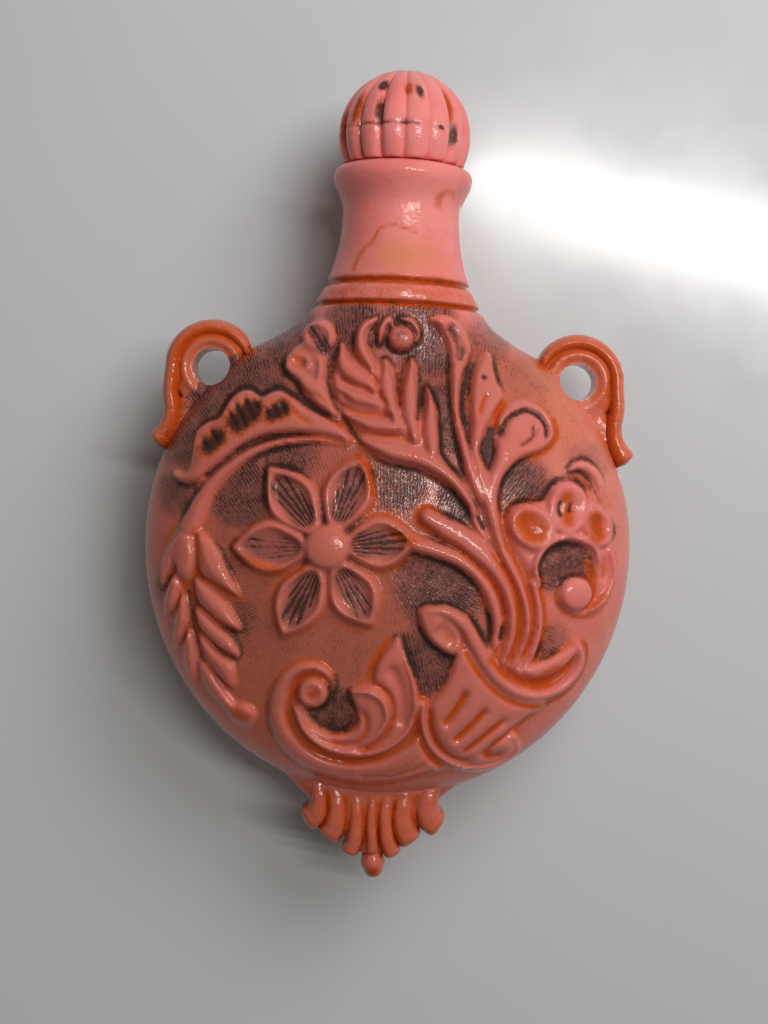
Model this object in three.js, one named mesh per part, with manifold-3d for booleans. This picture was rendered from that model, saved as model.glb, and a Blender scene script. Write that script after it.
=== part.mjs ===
// A moulded coral-pink snuff bottle lying on its back: a round flattened flask with a waisted neck,
// two scroll handles, a fluted foot and a ribbed ball stopper. Flowers, leaves and a horn of plenty
// stand up from the front.
// Millimetres. X runs across the flask, Y from the foot to the stopper, Z up from the floor.
// The relief is laid out in the flask's own plane: its middle is 0,0 and Z is 0 halfway through it.

import * as THREE from "three";
import { mergeVertices } from "three/addons/utils/BufferGeometryUtils.js";
import Module from "manifold-3d";

const wasm = await Module();
wasm.setup();
const { Manifold, Mesh } = wasm;

// Driving sizes.
const FLASK_RADIUS = 23;
const FLASK_HALF_DEPTH = 10;
const WALL = 2.6;
const SHOULDER_START = 16.5;
const BORE_RADIUS = 3.2;
const COLLAR_TOP = 35.5;
const PLUG_RADIUS = 2.85;
const PLUG_DEPTH = 4;
const SEAT_GAP = 0.3;
const BALL_RADIUS = 6.25;
const BALL_CENTRE = 38.4;
const BALL_RIBS = 16;
const RIB_DEPTH = 0.5;
const EYE_X = 17.15;
const EYE_Y = 16.1;
const EYE_HOLE = 1.75;
const EAR_RADIUS = 4.5;
const EAR_HALF_DEPTH = 1.7;
const RELIEF = 0.95;
const SINK = 0.8;
const REST_Y = 5;
const REST_LENGTH = 6;
const REST_WIDTH = 5;
const REST_DEPTH = 10.6;
const RING_POINTS = 24;

// The silhouette above the flask: distance along the bottle, half width, half depth.
const SHOULDER = [
  [16.5, 16.02, 6.97],
  [18, 13.8, 6.75],
  [19.3, 11.3, 6.7],
  [20.8, 9.1, 6.75],
  [22, 8.15, 6.85],
  [22.35, 7.5, 6.5],
  [22.9, 7.6, 6.9],
  [24, 7, 6.75],
  [24.35, 6.5, 6.3],
  [24.9, 6.6, 6.55],
  [27, 6.05, 6.05],
  [30.6, 5.6, 5.6],
  [32.4, 6, 6],
  [34.2, 6.5, 6.5],
  [35.1, 6.2, 6.2],
  [COLLAR_TOP, 5.5, 5.5],
];

// Half width and half depth of the flask at one distance along it.
function sectionAt(y) {
  if (y <= SHOULDER_START) {
    const width = Math.sqrt(Math.max(FLASK_RADIUS ** 2 - y * y, 0.04));
    return [width, (FLASK_HALF_DEPTH * width) / FLASK_RADIUS];
  }
  const above = SHOULDER.findIndex((row) => row[0] >= y);
  const high = SHOULDER[above < 0 ? SHOULDER.length - 1 : Math.max(above, 1)];
  const low = SHOULDER[above < 0 ? SHOULDER.length - 1 : Math.max(above, 1) - 1];
  const share = high === low ? 0 : (y - low[0]) / (high[0] - low[0]);
  return [low[1] + share * (high[1] - low[1]), low[2] + share * (high[2] - low[2])];
}

// Height of the flask's skin above its middle plane.
function skin(x, y) {
  const [width, depth] = sectionAt(y);
  const across = Math.min(Math.abs(x) / width, 0.985);
  return depth * Math.sqrt(1 - across * across);
}

// A closed solid from its corners and triangles, turned face out where it came out inside.
function closed(corners, triangles) {
  const points = corners.map((c) => new THREE.Vector3(...c));
  let volume = 0;
  for (const [a, b, c] of triangles) {
    volume += points[a].dot(points[b].clone().cross(points[c]));
  }
  const faces = volume < 0 ? triangles.map(([a, b, c]) => [a, c, b]) : triangles;
  return new Manifold(
    new Mesh({
      numProp: 3,
      vertProperties: new Float32Array(corners.flat()),
      triVerts: new Uint32Array(faces.flat()),
    }),
  );
}

// Skins a row of closed rings of corners and closes both ends with a fan.
function loft(rings) {
  const count = rings[0].length;
  const corners = rings.flat();
  const triangles = [];
  for (let r = 0; r + 1 < rings.length; r += 1) {
    for (let i = 0; i < count; i += 1) {
      const a = r * count + i;
      const b = r * count + ((i + 1) % count);
      triangles.push([a, b, b + count], [a, b + count, a + count]);
    }
  }
  for (const [start, flip] of [
    [0, true],
    [(rings.length - 1) * count, false],
  ]) {
    for (let i = 1; i + 1 < count; i += 1) {
      triangles.push(flip ? [start, start + i + 1, start + i] : [start, start + i, start + i + 1]);
    }
  }
  return closed(corners, triangles);
}

// A three.js geometry as a solid, its shared corners merged.
function solidOf(geometry) {
  const bare = geometry.clone();
  bare.deleteAttribute("normal");
  bare.deleteAttribute("uv");
  const merged = mergeVertices(bare, 1e-4);
  return new Manifold(
    new Mesh({
      numProp: 3,
      vertProperties: new Float32Array(merged.attributes.position.array),
      triVerts: new Uint32Array(merged.index.array),
    }),
  );
}

// An upright round pin with its middle in the flask's middle plane.
function pin(x, y, radius, height, sides) {
  const geometry = new THREE.CylinderGeometry(radius, radius, height, sides);
  geometry.rotateX(Math.PI / 2);
  geometry.translate(x, y, 0);
  return solidOf(geometry);
}

// Joins a list of solids into one, pairs first, so that no join has much to do.
function join(solids) {
  let list = solids;
  while (list.length > 1) {
    const next = [];
    for (let i = 0; i < list.length; i += 2) {
      next.push(i + 1 < list.length ? list[i].add(list[i + 1]) : list[i]);
    }
    list = next;
  }
  return list[0];
}

// Value of a short list of numbers at a share of the way along it.
function along(list, share) {
  const place = share * (list.length - 1);
  const low = Math.min(Math.floor(place), list.length - 2);
  return list[low] + (place - low) * (list[low + 1] - list[low]);
}

// Places along a smooth line through a few points: x, y and the unit step across it.
function track(points, step) {
  const curve = new THREE.CatmullRomCurve3(
    points.map(([x, y]) => new THREE.Vector3(x, y, 0)),
    false,
    "centripetal",
  );
  const count = Math.max(2, Math.round(curve.getLength() / step));
  const places = [];
  for (let i = 0; i <= count; i += 1) {
    const share = i / count;
    const at = curve.getPoint(share);
    const heading = curve.getTangent(share);
    places.push({ share, x: at.x, y: at.y, across: [-heading.y, heading.x] });
  }
  return places;
}

// One leaf, petal, stem or scroll of the relief, on the front skin or (side -1) on the back.
// dish hollows its middle, as a share of its height.
function blade(points, widths, { rise = RELIEF, dish = 0, side = 1, step = 2.6, base = skin } = {}) {
  const wide = Math.max(...widths) > 2.1;
  const floor = dish ? (share) => 1 - dish * Math.sin(Math.PI * share) : () => 1.12;
  const rings = track(points, step).map(({ share, x, y, across }) => {
    const half = Math.max(along(widths, share), 0.24) / 2;
    const top = rise * Math.min(1, 0.45 + half * 0.7);
    const middle = top * floor(share);
    const inner = dish ? 0.36 : 0.2;
    const section = wide
      ? [[-1.08, -SINK], [-0.74, top], [-inner, middle], [inner, middle], [0.74, top], [1.08, -SINK]]
      : [[-1.15, -SINK], [-0.6, top], [0.6, top], [1.15, -SINK]];
    return section.map(([v, height]) => {
      const px = x + across[0] * half * v;
      const py = y + across[1] * half * v;
      return [px, py, side * (base(px, py) + height)];
    });
  });
  return loft(rings);
}

// A round or oval knob of the relief, hollowed where dish is given.
function knob(x, y, rx, ry, { rise = RELIEF, dish = 0, turn = 0, side = 1 } = {}) {
  const count = rx > 1.6 ? 10 : 8;
  const levels = [[1, -SINK], [0.76, rise]];
  if (dish || rise > 1.1) {
    levels.push([0.3, rise * (dish ? 1 - dish : 1.15)]);
  }
  const angle = THREE.MathUtils.degToRad(turn);
  return loft(
    levels.map(([size, height]) => {
      const ring = [];
      for (let i = 0; i < count; i += 1) {
        const t = (2 * Math.PI * i) / count;
        const u = size * rx * Math.cos(t);
        const v = size * ry * Math.sin(t);
        const px = x + u * Math.cos(angle) - v * Math.sin(angle);
        const py = y + u * Math.sin(angle) + v * Math.cos(angle);
        ring.push([px, py, side * (skin(px, py) + height)]);
      }
      return ring;
    }),
  );
}

// A flower of pointed, dished petals round a boss: [angle, length, greatest width] for each petal.
function flower(x, y, boss, petals, options = {}) {
  const parts = petals.map(([degrees, length, width]) => {
    const t = THREE.MathUtils.degToRad(degrees);
    const stations = [boss * 0.7, length * 0.38, length * 0.62, length * 0.84, length];
    return blade(
      stations.map((r) => [x + r * Math.cos(t), y + r * Math.sin(t)]),
      [width * 0.45, width * 0.94, width, width * 0.66, 0.3],
      { dish: 0.75, step: 2.3, ...options },
    );
  });
  return parts;
}

// The flask, shoulder and neck as one skin.
function flask() {
  const stations = [];
  const last = Math.asin(SHOULDER_START / FLASK_RADIUS);
  for (let i = 0; i < 11; i += 1) {
    const t = -Math.PI / 2 + 0.03 + ((last + Math.PI / 2 - 0.03) * i) / 11;
    stations.push(FLASK_RADIUS * Math.sin(t));
  }
  for (const row of SHOULDER) {
    stations.push(row[0]);
  }
  return loft(stations.map((y) => ovalRing(y, ...sectionAt(y), RING_POINTS)));
}

// A ring of corners round the bottle's long axis.
function ovalRing(y, width, depth, count) {
  const ring = [];
  for (let i = 0; i < count; i += 1) {
    const t = (2 * Math.PI * (i + 0.5)) / count;
    ring.push([width * Math.cos(t), y, depth * Math.sin(t)]);
  }
  return ring;
}

// The hollow inside, drawn in to the round bore of the neck.
function hollow() {
  const inner = FLASK_RADIUS - WALL;
  const rings = [];
  for (let i = 0; i <= 7; i += 1) {
    const y = inner * Math.sin(-1.48 + (i * 2.2) / 7);
    const width = Math.sqrt(inner * inner - y * y);
    rings.push([y, width, (width * (FLASK_HALF_DEPTH - WALL)) / inner]);
  }
  rings.push([16.6, 9.2, 4.5], [19, 5.8, 3.9], [21.4, 3.8, 3.4], [24, BORE_RADIUS, BORE_RADIUS]);
  rings.push([COLLAR_TOP + 1, BORE_RADIUS, BORE_RADIUS]);
  return loft(rings.map(([y, width, depth]) => ovalRing(y, width, depth, 18)));
}

// A flat bar that follows a line in the flask's plane, the same above and below it.
function bar(points, widths, depths, step = 2.7, sides = 6) {
  const rings = track(points, step).map(({ share, x, y, across }) => {
    const half = Math.max(along(widths, share), 0.3) / 2;
    const deep = along(depths, share);
    const ring = [];
    for (let i = 0; i < sides; i += 1) {
      const t = (2 * Math.PI * (i + 0.5)) / sides;
      const v = half * Math.sign(Math.cos(t)) * Math.abs(Math.cos(t)) ** 0.7;
      const z = deep * Math.sign(Math.sin(t)) * Math.abs(Math.sin(t)) ** 0.7;
      ring.push([x + across[0] * v, y + across[1] * v, z]);
    }
    return ring;
  });
  return loft(rings);
}

// One scroll handle; hand is 1 for the right and -1 for the left.
function ear(hand) {
  const arc = (radius, from, to, count) => {
    const points = [];
    for (let i = 0; i <= count; i += 1) {
      const t = THREE.MathUtils.degToRad(from + ((to - from) * i) / count);
      points.push([hand * (EYE_X + radius * Math.cos(t)), EYE_Y + radius * Math.sin(t)]);
    }
    return points;
  };
  const rim = [
    ...arc(EAR_RADIUS - 0.45, 150, -5, 6),
    [hand * 21.1, 13.4],
    [hand * 21.1, 11.6],
    [hand * 22.1, 10.1],
  ];
  const parts = [
    pin(hand * EYE_X, EYE_Y, EAR_RADIUS - 0.2, 2 * EAR_HALF_DEPTH, 20),
    bar(rim, [1.2, 1.2, 1.2, 1.2, 1.2, 1.2, 1.5, 2], [2.5, 2.5], 2.4, 4),
    bar(arc(2.65, 190, -95, 9), [1.5, 1.6, 1.6, 1.5], [2.35, 2.35], 1.9, 4),
    bar(
      [[hand * 20.2, 13], [hand * 20.4, 11], [hand * 21, 9.6], [hand * 22, 9.1]],
      [2, 2.4, 2.6, 2],
      [EAR_HALF_DEPTH, EAR_HALF_DEPTH],
    ),
  ];
  return parts;
}

// The fluted foot: a fan of lobes that ends in a small bud. Each lobe is a line, widths and depths.
function foot() {
  const lobes = [
    { line: [[5.2, -21.6], [4.7, -24.4], [5, -26.2], [6, -26.5]], widths: [2.8, 2.1, 2.1, 1.4] },
    { line: [[3.4, -21.5], [2.9, -24.6], [3.2, -27], [3.9, -29]], widths: [2.4, 2.2, 2.6, 1.2] },
    { line: [[1.4, -21.5], [1.15, -25], [1.4, -28], [1.9, -30.3]], widths: [1.9, 1.6, 1.7, 1] },
  ];
  const web = bar([[-0.2, -21], [-0.2, -25], [-0.2, -28.8]], [11, 9.4, 3.4], [2.2, 1.5, 0.9]);
  const bud = bar([[-0.1, -28], [-0.1, -30.2], [-0.05, -31.9]], [0.8, 2, 0.9], [1, 1.8, 1]);
  const rib = bar([[-0.1, -22], [0, -26], [-0.1, -29.4]], [1.3, 1.1, 0.9], [3.4, 2.6, 1.6]);
  const parts = [web, bud, rib];
  for (const { line, widths } of lobes) {
    for (const hand of [1, -1]) {
      const points = line.map(([x, y]) => [hand * x - (hand < 0 ? 0.6 : 0), y]);
      parts.push(bar(points, widths, [3.5, 3, 2.4, 1.5]));
    }
  }
  return parts;
}

// The front relief, from the flower outwards.
function frontRelief() {
  const petals = [[183, 8.7, 4.9], [129, 9, 4.7], [71, 8.85, 4.6], [7, 8.1, 4.8], [-58, 8.3, 4.6], [-114.5, 9.2, 4.6]];
  return [
    ...flower(-5.4, 0.1, 2.05, petals),
    knob(-5.4, 0.1, 2.05, 2.05, { rise: 1.5 }),
    ...leftSpray(),
    ...topLeaves(),
    ...rightSpray(),
    ...stems(),
    ...horn(),
    ...scroll(),
  ];
}

// The arched stem, the scalloped leaf over it and the feather leaf that hangs from it.
function leftSpray() {
  const parts = [
    blade([[-18.2, 1], [-17.2, 3.3], [-16.1, 5.2], [-14.3, 7], [-12.2, 8.4], [-9.5, 9.1], [-4, 9.2]], [2, 1.6, 1.2, 0.9, 0.6]),
    blade([[-19.7, 5.9], [-17.2, 6.9], [-15, 8.9], [-12.4, 10.6], [-9, 11.1], [-4, 10.2]], [0.8, 2.4, 2.8, 2.6, 2.4, 1]),
    knob(-16.3, 9.1, 2.3, 1.6, { dish: 0.8, turn: -45 }),
    knob(-13.4, 11.5, 2.7, 2.1, { dish: 0.8, turn: -40 }),
    knob(-10.3, 12.2, 2.1, 1.7, { dish: 0.6, turn: -25 }),
    knob(-7, 18.9, 1.6, 1.4, { dish: 0.6 }),
    knob(-8.4, 16.6, 1.8, 1.7),
    blade([[-7.6, 17.5], [-7.4, 15], [-6.5, 13], [-4.9, 11.6]], [2.2, 2.9, 2.2, 0.5]),
    knob(-18.4, -1.4, 2.5, 1.15, { turn: 90 }),
    knob(-13, -16, 1.4, 1.2),
  ];
  const leaflets = [
    [[-19.4, 0.6], [-20.6, -1.2], [-20.8, -4.6]],
    [[-19, -2.9], [-20, -4.6], [-20.2, -6.9]],
    [[-18.3, -4.8], [-19, -7], [-19.2, -10.3]],
    [[-17.8, -8.2], [-17.9, -10.8], [-17.3, -13.7]],
    [[-17, 0.7], [-15.4, -2], [-13.1, -4.8]],
    [[-17.4, -3.3], [-15.1, -5.2], [-12.8, -7.5]],
    [[-17.5, -5.4], [-15.4, -7.5], [-13.3, -10.1]],
    [[-17.3, -7.6], [-15.4, -10], [-13.9, -13.2]],
    [[-17, -10], [-15.6, -13.3], [-13.8, -16]],
  ];
  leaflets.forEach((line, i) => {
    parts.push(blade(line, [0.5, i < 4 ? 1.2 : 1.9, i === 8 ? 1.2 : 0.3], { rise: 0.8 }));
  });
  return parts;
}

// The fingered leaf at the top with its bud, and the stem that it grows from.
function topLeaves() {
  return [
    blade([[-5.2, 14.4], [-3.2, 12.2], [-0.5, 10.1], [2.2, 8.8], [4.6, 7.2], [6.9, 5], [7.9, 3], [8.8, 1.5]], [1.4, 3, 3.6, 3, 1.7, 1.1, 0.7, 0.5]),
    blade([[-4.9, 18.8], [-4.7, 16.8], [-3.5, 14.8], [-1.5, 13]], [0.3, 1.6, 1.9, 1.4]),
    blade([[-1.3, 20.8], [-2.8, 20.3], [-3.3, 18.6], [-2.7, 16.8], [-1.5, 14.6]], [0.5, 1.1, 1.3, 1.5, 1.3]),
    blade([[-0.9, 17.2], [-0.8, 15.3], [-0.4, 13], [0.3, 11]], [0.3, 1.4, 1.4, 1]),
    blade([[1.5, 17.5], [1.35, 15], [1.3, 12.6], [1.2, 10]], [0.3, 1.4, 1.5, 1.4]),
    blade([[2.9, 14.9], [3.2, 13], [3.3, 11], [3.1, 8.8]], [0.3, 1.1, 1.6, 1.8]),
    knob(0.4, 19.2, 1.3, 1.3, { rise: 1.2 }),
    blade([[-1.3, 19.3], [-0.8, 20.5], [0.4, 20.8], [1.6, 20]], [0.4, 0.9, 0.9, 0.4]),
  ];
}

// The hooked leaf, the pointed leaf, the snail bud and the shell leaf on the right.
function rightSpray() {
  return [
    blade([[2.9, 21.1], [4.7, 20.7], [5.8, 19], [5.6, 16.2], [5.5, 13.5], [6.2, 10.5], [6.9, 7.8], [7.9, 5.6]], [0.4, 1.2, 2, 1.6, 0.9, 1, 1.3, 1.3]),
    blade([[8.3, 18.4], [7.9, 16], [7.9, 13.4], [7.5, 11], [7.2, 8.4]], [0.3, 1.9, 2.5, 1.6, 1]),
    blade([[9.5, 10.2], [10, 12.2], [11.9, 13.6], [13.9, 12.6], [14.2, 10.6]], [0.9, 1, 1, 1, 0.8]),
    knob(11.7, 10.9, 1.7, 1.6),
    blade([[13.7, 9.8], [11.6, 8.9], [9.9, 7.6], [8.9, 5.4], [9.4, 3.2], [9.7, 1.4]], [1, 1.6, 1.7, 2, 1.2, 1.1]),
    knob(12.6, 2.6, 2.2, 1.8, { dish: 0.7, turn: 80 }),
    knob(15.8, 4.7, 2.3, 2, { dish: 0.5, turn: 90 }),
    knob(18.6, 3.2, 1.8, 1.5, { dish: 0.7, turn: 70 }),
    blade([[14, 1.9], [16, 2.1], [18.6, 1.2], [20, -0.6], [20.1, -2.6], [19, -4.5], [16.9, -5]], [1.6, 1.2, 1.4, 1.6, 1.6, 1.4, 0.8]),
    blade([[12.2, 3.4], [11.9, 1.2], [12.8, -0.8], [13.6, -3]], [1, 2, 1.5, 0.8]),
    knob(17.2, -3.4, 1.75, 1.75, { rise: 1.2 }),
    blade([[16.2, 7.8], [17.5, 8], [18.6, 6.9], [19.1, 5.3]], [0.3, 1.1, 1.1, 0.3]),
  ];
}

// The bundle of stems that curves down into the mouth of the horn.
function stems() {
  return [
    blade([[2.4, 0.7], [4.5, 0.1], [6.5, -0.6], [8.3, -2], [9.5, -4], [10, -6.5], [9.8, -8.6]], [1.3, 1.3]),
    blade([[3.3, 3.1], [5, 2.2], [7.5, 0.7], [9.8, -1.4], [11.2, -4.2], [11.5, -7], [10.8, -9.8]], [1.5, 2, 1.8, 1.4, 1.1, 1, 0.9]),
    blade([[9.7, 1.8], [10.5, -0.5], [11.9, -2.8], [12.7, -5.4], [12.7, -7.8], [11.7, -10.2]], [1, 1]),
    blade([[13.4, -2.8], [13.9, -5], [13.9, -7.2], [13.2, -9.4], [12.3, -10.8]], [0.7, 0.8, 0.8, 0.8, 0.6]),
  ];
}

// The horn: its fluted body, the rolled lip, the curl beside it and the band round its tail.
function horn() {
  const axis = [[11, -11.4], [9.3, -13.8], [8, -15.8], [7.1, -17.6], [6.8, -19]];
  const body = blade(axis, [9.6, 8.2, 7.2, 5, 1.6], { rise: 0.85, step: 2.2 });
  const flutes = [
    [[7.6, -12], [6.9, -13.8], [5.5, -16]],
    [[9.6, -13.9], [8.4, -15.6], [6.4, -17.5]],
    [[11.5, -14.9], [9.8, -16.7], [7.3, -18.7]],
  ].map((line) => blade(line, [0.9, 0.8, 0.4], { rise: 2, base: (x, y) => skin(x, y) + 1.15 }));
  return [
    flutes.reduce((solid, flute) => solid.subtract(flute), body),
    blade(
      [[3.6, -5.4], [5.5, -5.6], [7, -6.7], [8.4, -8.6], [10.2, -11], [12.5, -12.6], [14.9, -12.9], [17, -11.6], [18, -9.6], [17.5, -8.1]],
      [1.2, 1.3, 1.3, 1.3, 1.3, 0.8],
      { rise: 1.2 },
    ),
    knob(4.9, -7.1, 2.4, 1.3, { turn: -42 }),
    blade(
      [[3.8, -13.8], [3.9, -15.8], [4.8, -17.9], [6.4, -19.4], [8.6, -20], [11, -19.7], [12.6, -18.5], [12.2, -17]],
      [0.9, 0.9],
    ),
    blade([[13.4, -10.2], [15, -10.2], [16.6, -9.1], [17.5, -8.1]], [0.8, 0.8]),
    knob(14.6, -11.2, 2.4, 1.1, { rise: 0.5, turn: 15 }),
  ];
}

// The large double scroll at the lower left and the leaf that rises from it.
function scroll() {
  return [
    blade(
      [[-4.6, -11.8], [-6.2, -10.9], [-8, -11.3], [-9.2, -12.8], [-9.5, -15], [-8.9, -17.2], [-7.3, -19.2], [-5, -20.5], [-2, -21], [1, -20.7], [3.8, -19.7]],
      [0.7, 1.1, 1.3, 1.5, 1.6, 1.7, 1.7, 1],
      { step: 2.3 },
    ),
    blade(
      [[-7.9, -14.8], [-7.2, -16.5], [-5.7, -17.9], [-3.4, -18.7], [-1, -18.6], [1, -17.6], [2.4, -16], [2.9, -13.5], [2.3, -10.8], [1.4, -7.3]],
      [0.6, 1.3, 1.6, 1.8, 1.6, 1.3, 1.1, 0.3],
      { step: 2.3 },
    ),
    blade([[1.2, -7.6], [0.2, -9], [-0.4, -10.6], [0.4, -12]], [0.3, 1, 1, 0.6]),
    blade([[0.5, -11.4], [1.4, -13], [1.6, -15], [0.9, -16.8]], [1.2, 1.5, 1.3, 0.7], { rise: 0.6 }),
    blade([[-2.7, -13.2], [-1.2, -13.2], [0.1, -13.9], [0.3, -15.6], [-0.6, -17.1], [-2.4, -17.9]], [0.7, 1.2, 1.3, 1.3, 1.1, 0.8]),
    blade([[-2.3, -14.6], [-1.9, -15.9], [-2.6, -16.9], [-4.2, -17.4]], [0.4, 0.8, 0.8, 0.6], { rise: 0.7 }),
    knob(-6.1, -13.1, 1.5, 1.5, { rise: 1.15, dish: 0.5 }),
  ];
}

// The back: a plainer flower round the flat boss that the bottle lies on, with four curling leaves.
function backRelief() {
  const boss = [];
  for (const [size, z] of [[1.04, -8], [1, -REST_DEPTH]]) {
    const ring = [];
    for (let i = 0; i < 24; i += 1) {
      const t = (2 * Math.PI * i) / 24;
      ring.push([size * REST_WIDTH * Math.cos(t), REST_Y + size * REST_LENGTH * Math.sin(t), z]);
    }
    boss.push(ring);
  }
  const petals = [];
  for (let i = 0; i < 6; i += 1) {
    petals.push([30 + 60 * i, i % 3 === 1 ? 12.2 : 11.4, 5.4]);
  }
  const leaves = [];
  for (const hand of [1, -1]) {
    leaves.push(
      blade([[hand * 2, -9], [hand * 6, -13.2], [hand * 11.5, -12.6], [hand * 14, -8], [hand * 12, -5]], [0.6, 2.2, 2.4, 1.6, 0.5], { side: -1, rise: 0.6, step: 3.6 }),
      blade([[hand * 1.5, -11], [hand * 3.5, -16.5], [hand * 8, -18], [hand * 11, -16.4]], [0.6, 1.8, 1.6, 0.4], { side: -1, rise: 0.6, step: 3.6 }),
    );
  }
  return [loft(boss), ...flower(0, REST_Y, REST_WIDTH, petals, { side: -1, rise: 0.45, dish: 0.6, step: 3.4 }), ...leaves];
}

// The bottle in one piece: skin, relief, handles and foot, less the hollow and the two eyes.
function bottle() {
  const whole = join([
    flask(),
    ...ear(1),
    ...ear(-1),
    ...foot(),
    ...frontRelief(),
    ...backRelief(),
  ]);
  const eyes = [1, -1].map((hand) => pin(hand * EYE_X, EYE_Y, EYE_HOLE, 12, 16));
  return eyes.reduce((solid, eye) => solid.subtract(eye), whole.subtract(hollow()));
}

// The stopper: a ball ribbed like a melon, cut flat below, with a plug that enters the neck.
function stopper() {
  const count = BALL_RIBS * 2;
  const seat = COLLAR_TOP + SEAT_GAP;
  const first = Math.asin((seat - BALL_CENTRE) / BALL_RADIUS);
  const rings = [];
  for (let r = 0; r <= 8; r += 1) {
    const t = first + ((1.5 - first) * r) / 8;
    const level = BALL_RADIUS * Math.cos(t);
    const ring = [];
    for (let i = 0; i < count; i += 1) {
      const turn = (2 * Math.PI * i) / count;
      const grooved = i % 2 === 0 ? RIB_DEPTH * Math.min(1, level / 3) : 0;
      ring.push([(level - grooved) * Math.cos(turn), BALL_CENTRE + BALL_RADIUS * Math.sin(t), (level - grooved) * Math.sin(turn)]);
    }
    rings.push(ring);
  }
  const plug = [
    [seat - PLUG_DEPTH, PLUG_RADIUS - 0.35],
    [seat - PLUG_DEPTH + 0.5, PLUG_RADIUS],
    [seat + 0.5, PLUG_RADIUS],
  ].map(([y, radius]) => ovalRing(y, radius, radius, 16));
  return loft(rings).add(loft(plug));
}

// A named mesh of one solid, moved from the flask's own plane to the floor.
function piece(name, solid, colour, roughness) {
  const out = solid.getMesh();
  const geometry = new THREE.BufferGeometry();
  geometry.setAttribute("position", new THREE.BufferAttribute(new Float32Array(out.vertProperties), 3));
  geometry.setIndex(new THREE.BufferAttribute(new Uint32Array(out.triVerts), 1));
  geometry.computeVertexNormals();
  const material = new THREE.MeshStandardMaterial({ color: colour, roughness, metalness: 0 });
  const mesh = new THREE.Mesh(geometry, material);
  mesh.name = name;
  mesh.position.set(0, -REST_Y, REST_DEPTH);
  return mesh;
}

const root = new THREE.Group();
root.add(piece("bottle", bottle(), 0xd9796c, 0.28));
root.add(piece("stopper", stopper(), 0xe0857a, 0.28));

export default root;
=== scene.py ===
# %% [markdown]
# # A moulded snuff bottle, dressed for a photograph
# The solids give this bottle its size and its place. Here it gets what the eye sees: crisp
# relief, a ribbed ball stopper, glossy coral plastic, and the brown and orange stain that a
# finisher rubs into the low places. We lay everything out in millimetres in the flask's own
# plane, with 0, 0 at the middle of the round flask, and turn it into metres at the end.

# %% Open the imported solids
import math

import bpy
import numpy as np
from mathutils import Matrix, Vector


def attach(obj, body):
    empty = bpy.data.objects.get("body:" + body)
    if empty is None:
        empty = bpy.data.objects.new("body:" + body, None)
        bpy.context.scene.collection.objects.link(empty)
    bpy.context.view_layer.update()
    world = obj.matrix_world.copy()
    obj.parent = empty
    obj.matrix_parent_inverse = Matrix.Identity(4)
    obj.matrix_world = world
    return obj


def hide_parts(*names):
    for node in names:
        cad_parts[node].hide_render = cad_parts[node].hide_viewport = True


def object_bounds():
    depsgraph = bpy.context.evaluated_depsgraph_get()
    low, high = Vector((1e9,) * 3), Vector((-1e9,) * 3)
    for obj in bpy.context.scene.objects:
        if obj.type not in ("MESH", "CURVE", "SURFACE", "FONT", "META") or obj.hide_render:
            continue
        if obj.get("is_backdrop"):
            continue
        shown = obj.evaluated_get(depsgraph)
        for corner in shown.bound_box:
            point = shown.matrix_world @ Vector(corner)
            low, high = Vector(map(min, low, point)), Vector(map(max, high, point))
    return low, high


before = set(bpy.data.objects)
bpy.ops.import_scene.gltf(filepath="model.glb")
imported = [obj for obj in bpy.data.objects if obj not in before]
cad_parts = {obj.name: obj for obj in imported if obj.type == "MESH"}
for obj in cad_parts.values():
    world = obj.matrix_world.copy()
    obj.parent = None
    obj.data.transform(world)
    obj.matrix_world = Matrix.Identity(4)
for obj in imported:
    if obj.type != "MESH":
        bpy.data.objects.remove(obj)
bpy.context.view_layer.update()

# %% [markdown]
# ## From the flask's plane to the floor
# The bottle lies on its back. Its middle plane floats 10.6 mm above the floor, and the flat
# boss under it, 5 mm above the middle of the flask, is the origin. One small function moves a
# list of points there, so no object is ever moved, turned or scaled.

# %% Place points on the floor
MM = 0.001  # metres
REST_Y = 5.0
REST_DEPTH = 10.6


def to_floor(points):
    """Points in mm in the flask's plane as metres above the floor."""
    return (np.asarray(points, float) + (0, -REST_Y, REST_DEPTH)) * MM


def make_object(name, points, faces):
    """A mesh object from points in mm and lists of corners."""
    mesh = bpy.data.meshes.new(name)
    mesh.from_pydata(to_floor(points).tolist(), [], faces)
    mesh.validate()
    piece = bpy.data.objects.new(name, mesh)
    bpy.context.scene.collection.objects.link(piece)
    return piece


# %% [markdown]
# ## Camera
# The photograph looks almost straight down from about 15 cm, turned by 2.4 degrees. A camera
# can be aimed by hand, but writing down where it stands, what it looks at and which way is up
# gives the same picture each time.

# %% Aim the camera
CAMERA_AT = Vector((-0.00067, 0.00296, 0.1606))
CAMERA_TO = Vector((-0.00046, -0.00188, 0.0106))
ROLL = math.radians(2.4)
LENS_LENGTH = 55.5
forward = (CAMERA_TO - CAMERA_AT).normalized()
rightward = forward.cross(Vector((-math.sin(ROLL), math.cos(ROLL), 0))).normalized()
upward = rightward.cross(forward)
lens = bpy.data.cameras.new("camera")
lens.lens = LENS_LENGTH
lens.sensor_width = 36
lens.clip_start = 0.005
camera = bpy.data.objects.new("camera", lens)
turned = Matrix((rightward, upward, -forward)).transposed().to_4x4()
camera.matrix_world = Matrix.Translation(CAMERA_AT) @ turned
bpy.context.scene.collection.objects.link(camera)
bpy.context.scene.camera = camera
print("camera height in mm:", round(CAMERA_AT.z / MM, 1))

# %% [markdown]
# ## Smooth lines
# A relief cutter draws leaves and stems as smooth lines through a few points. A Catmull-Rom
# spline passes through every point that we give it, and its centripetal kind doesn't loop or
# overshoot where the points are close together.


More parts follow.
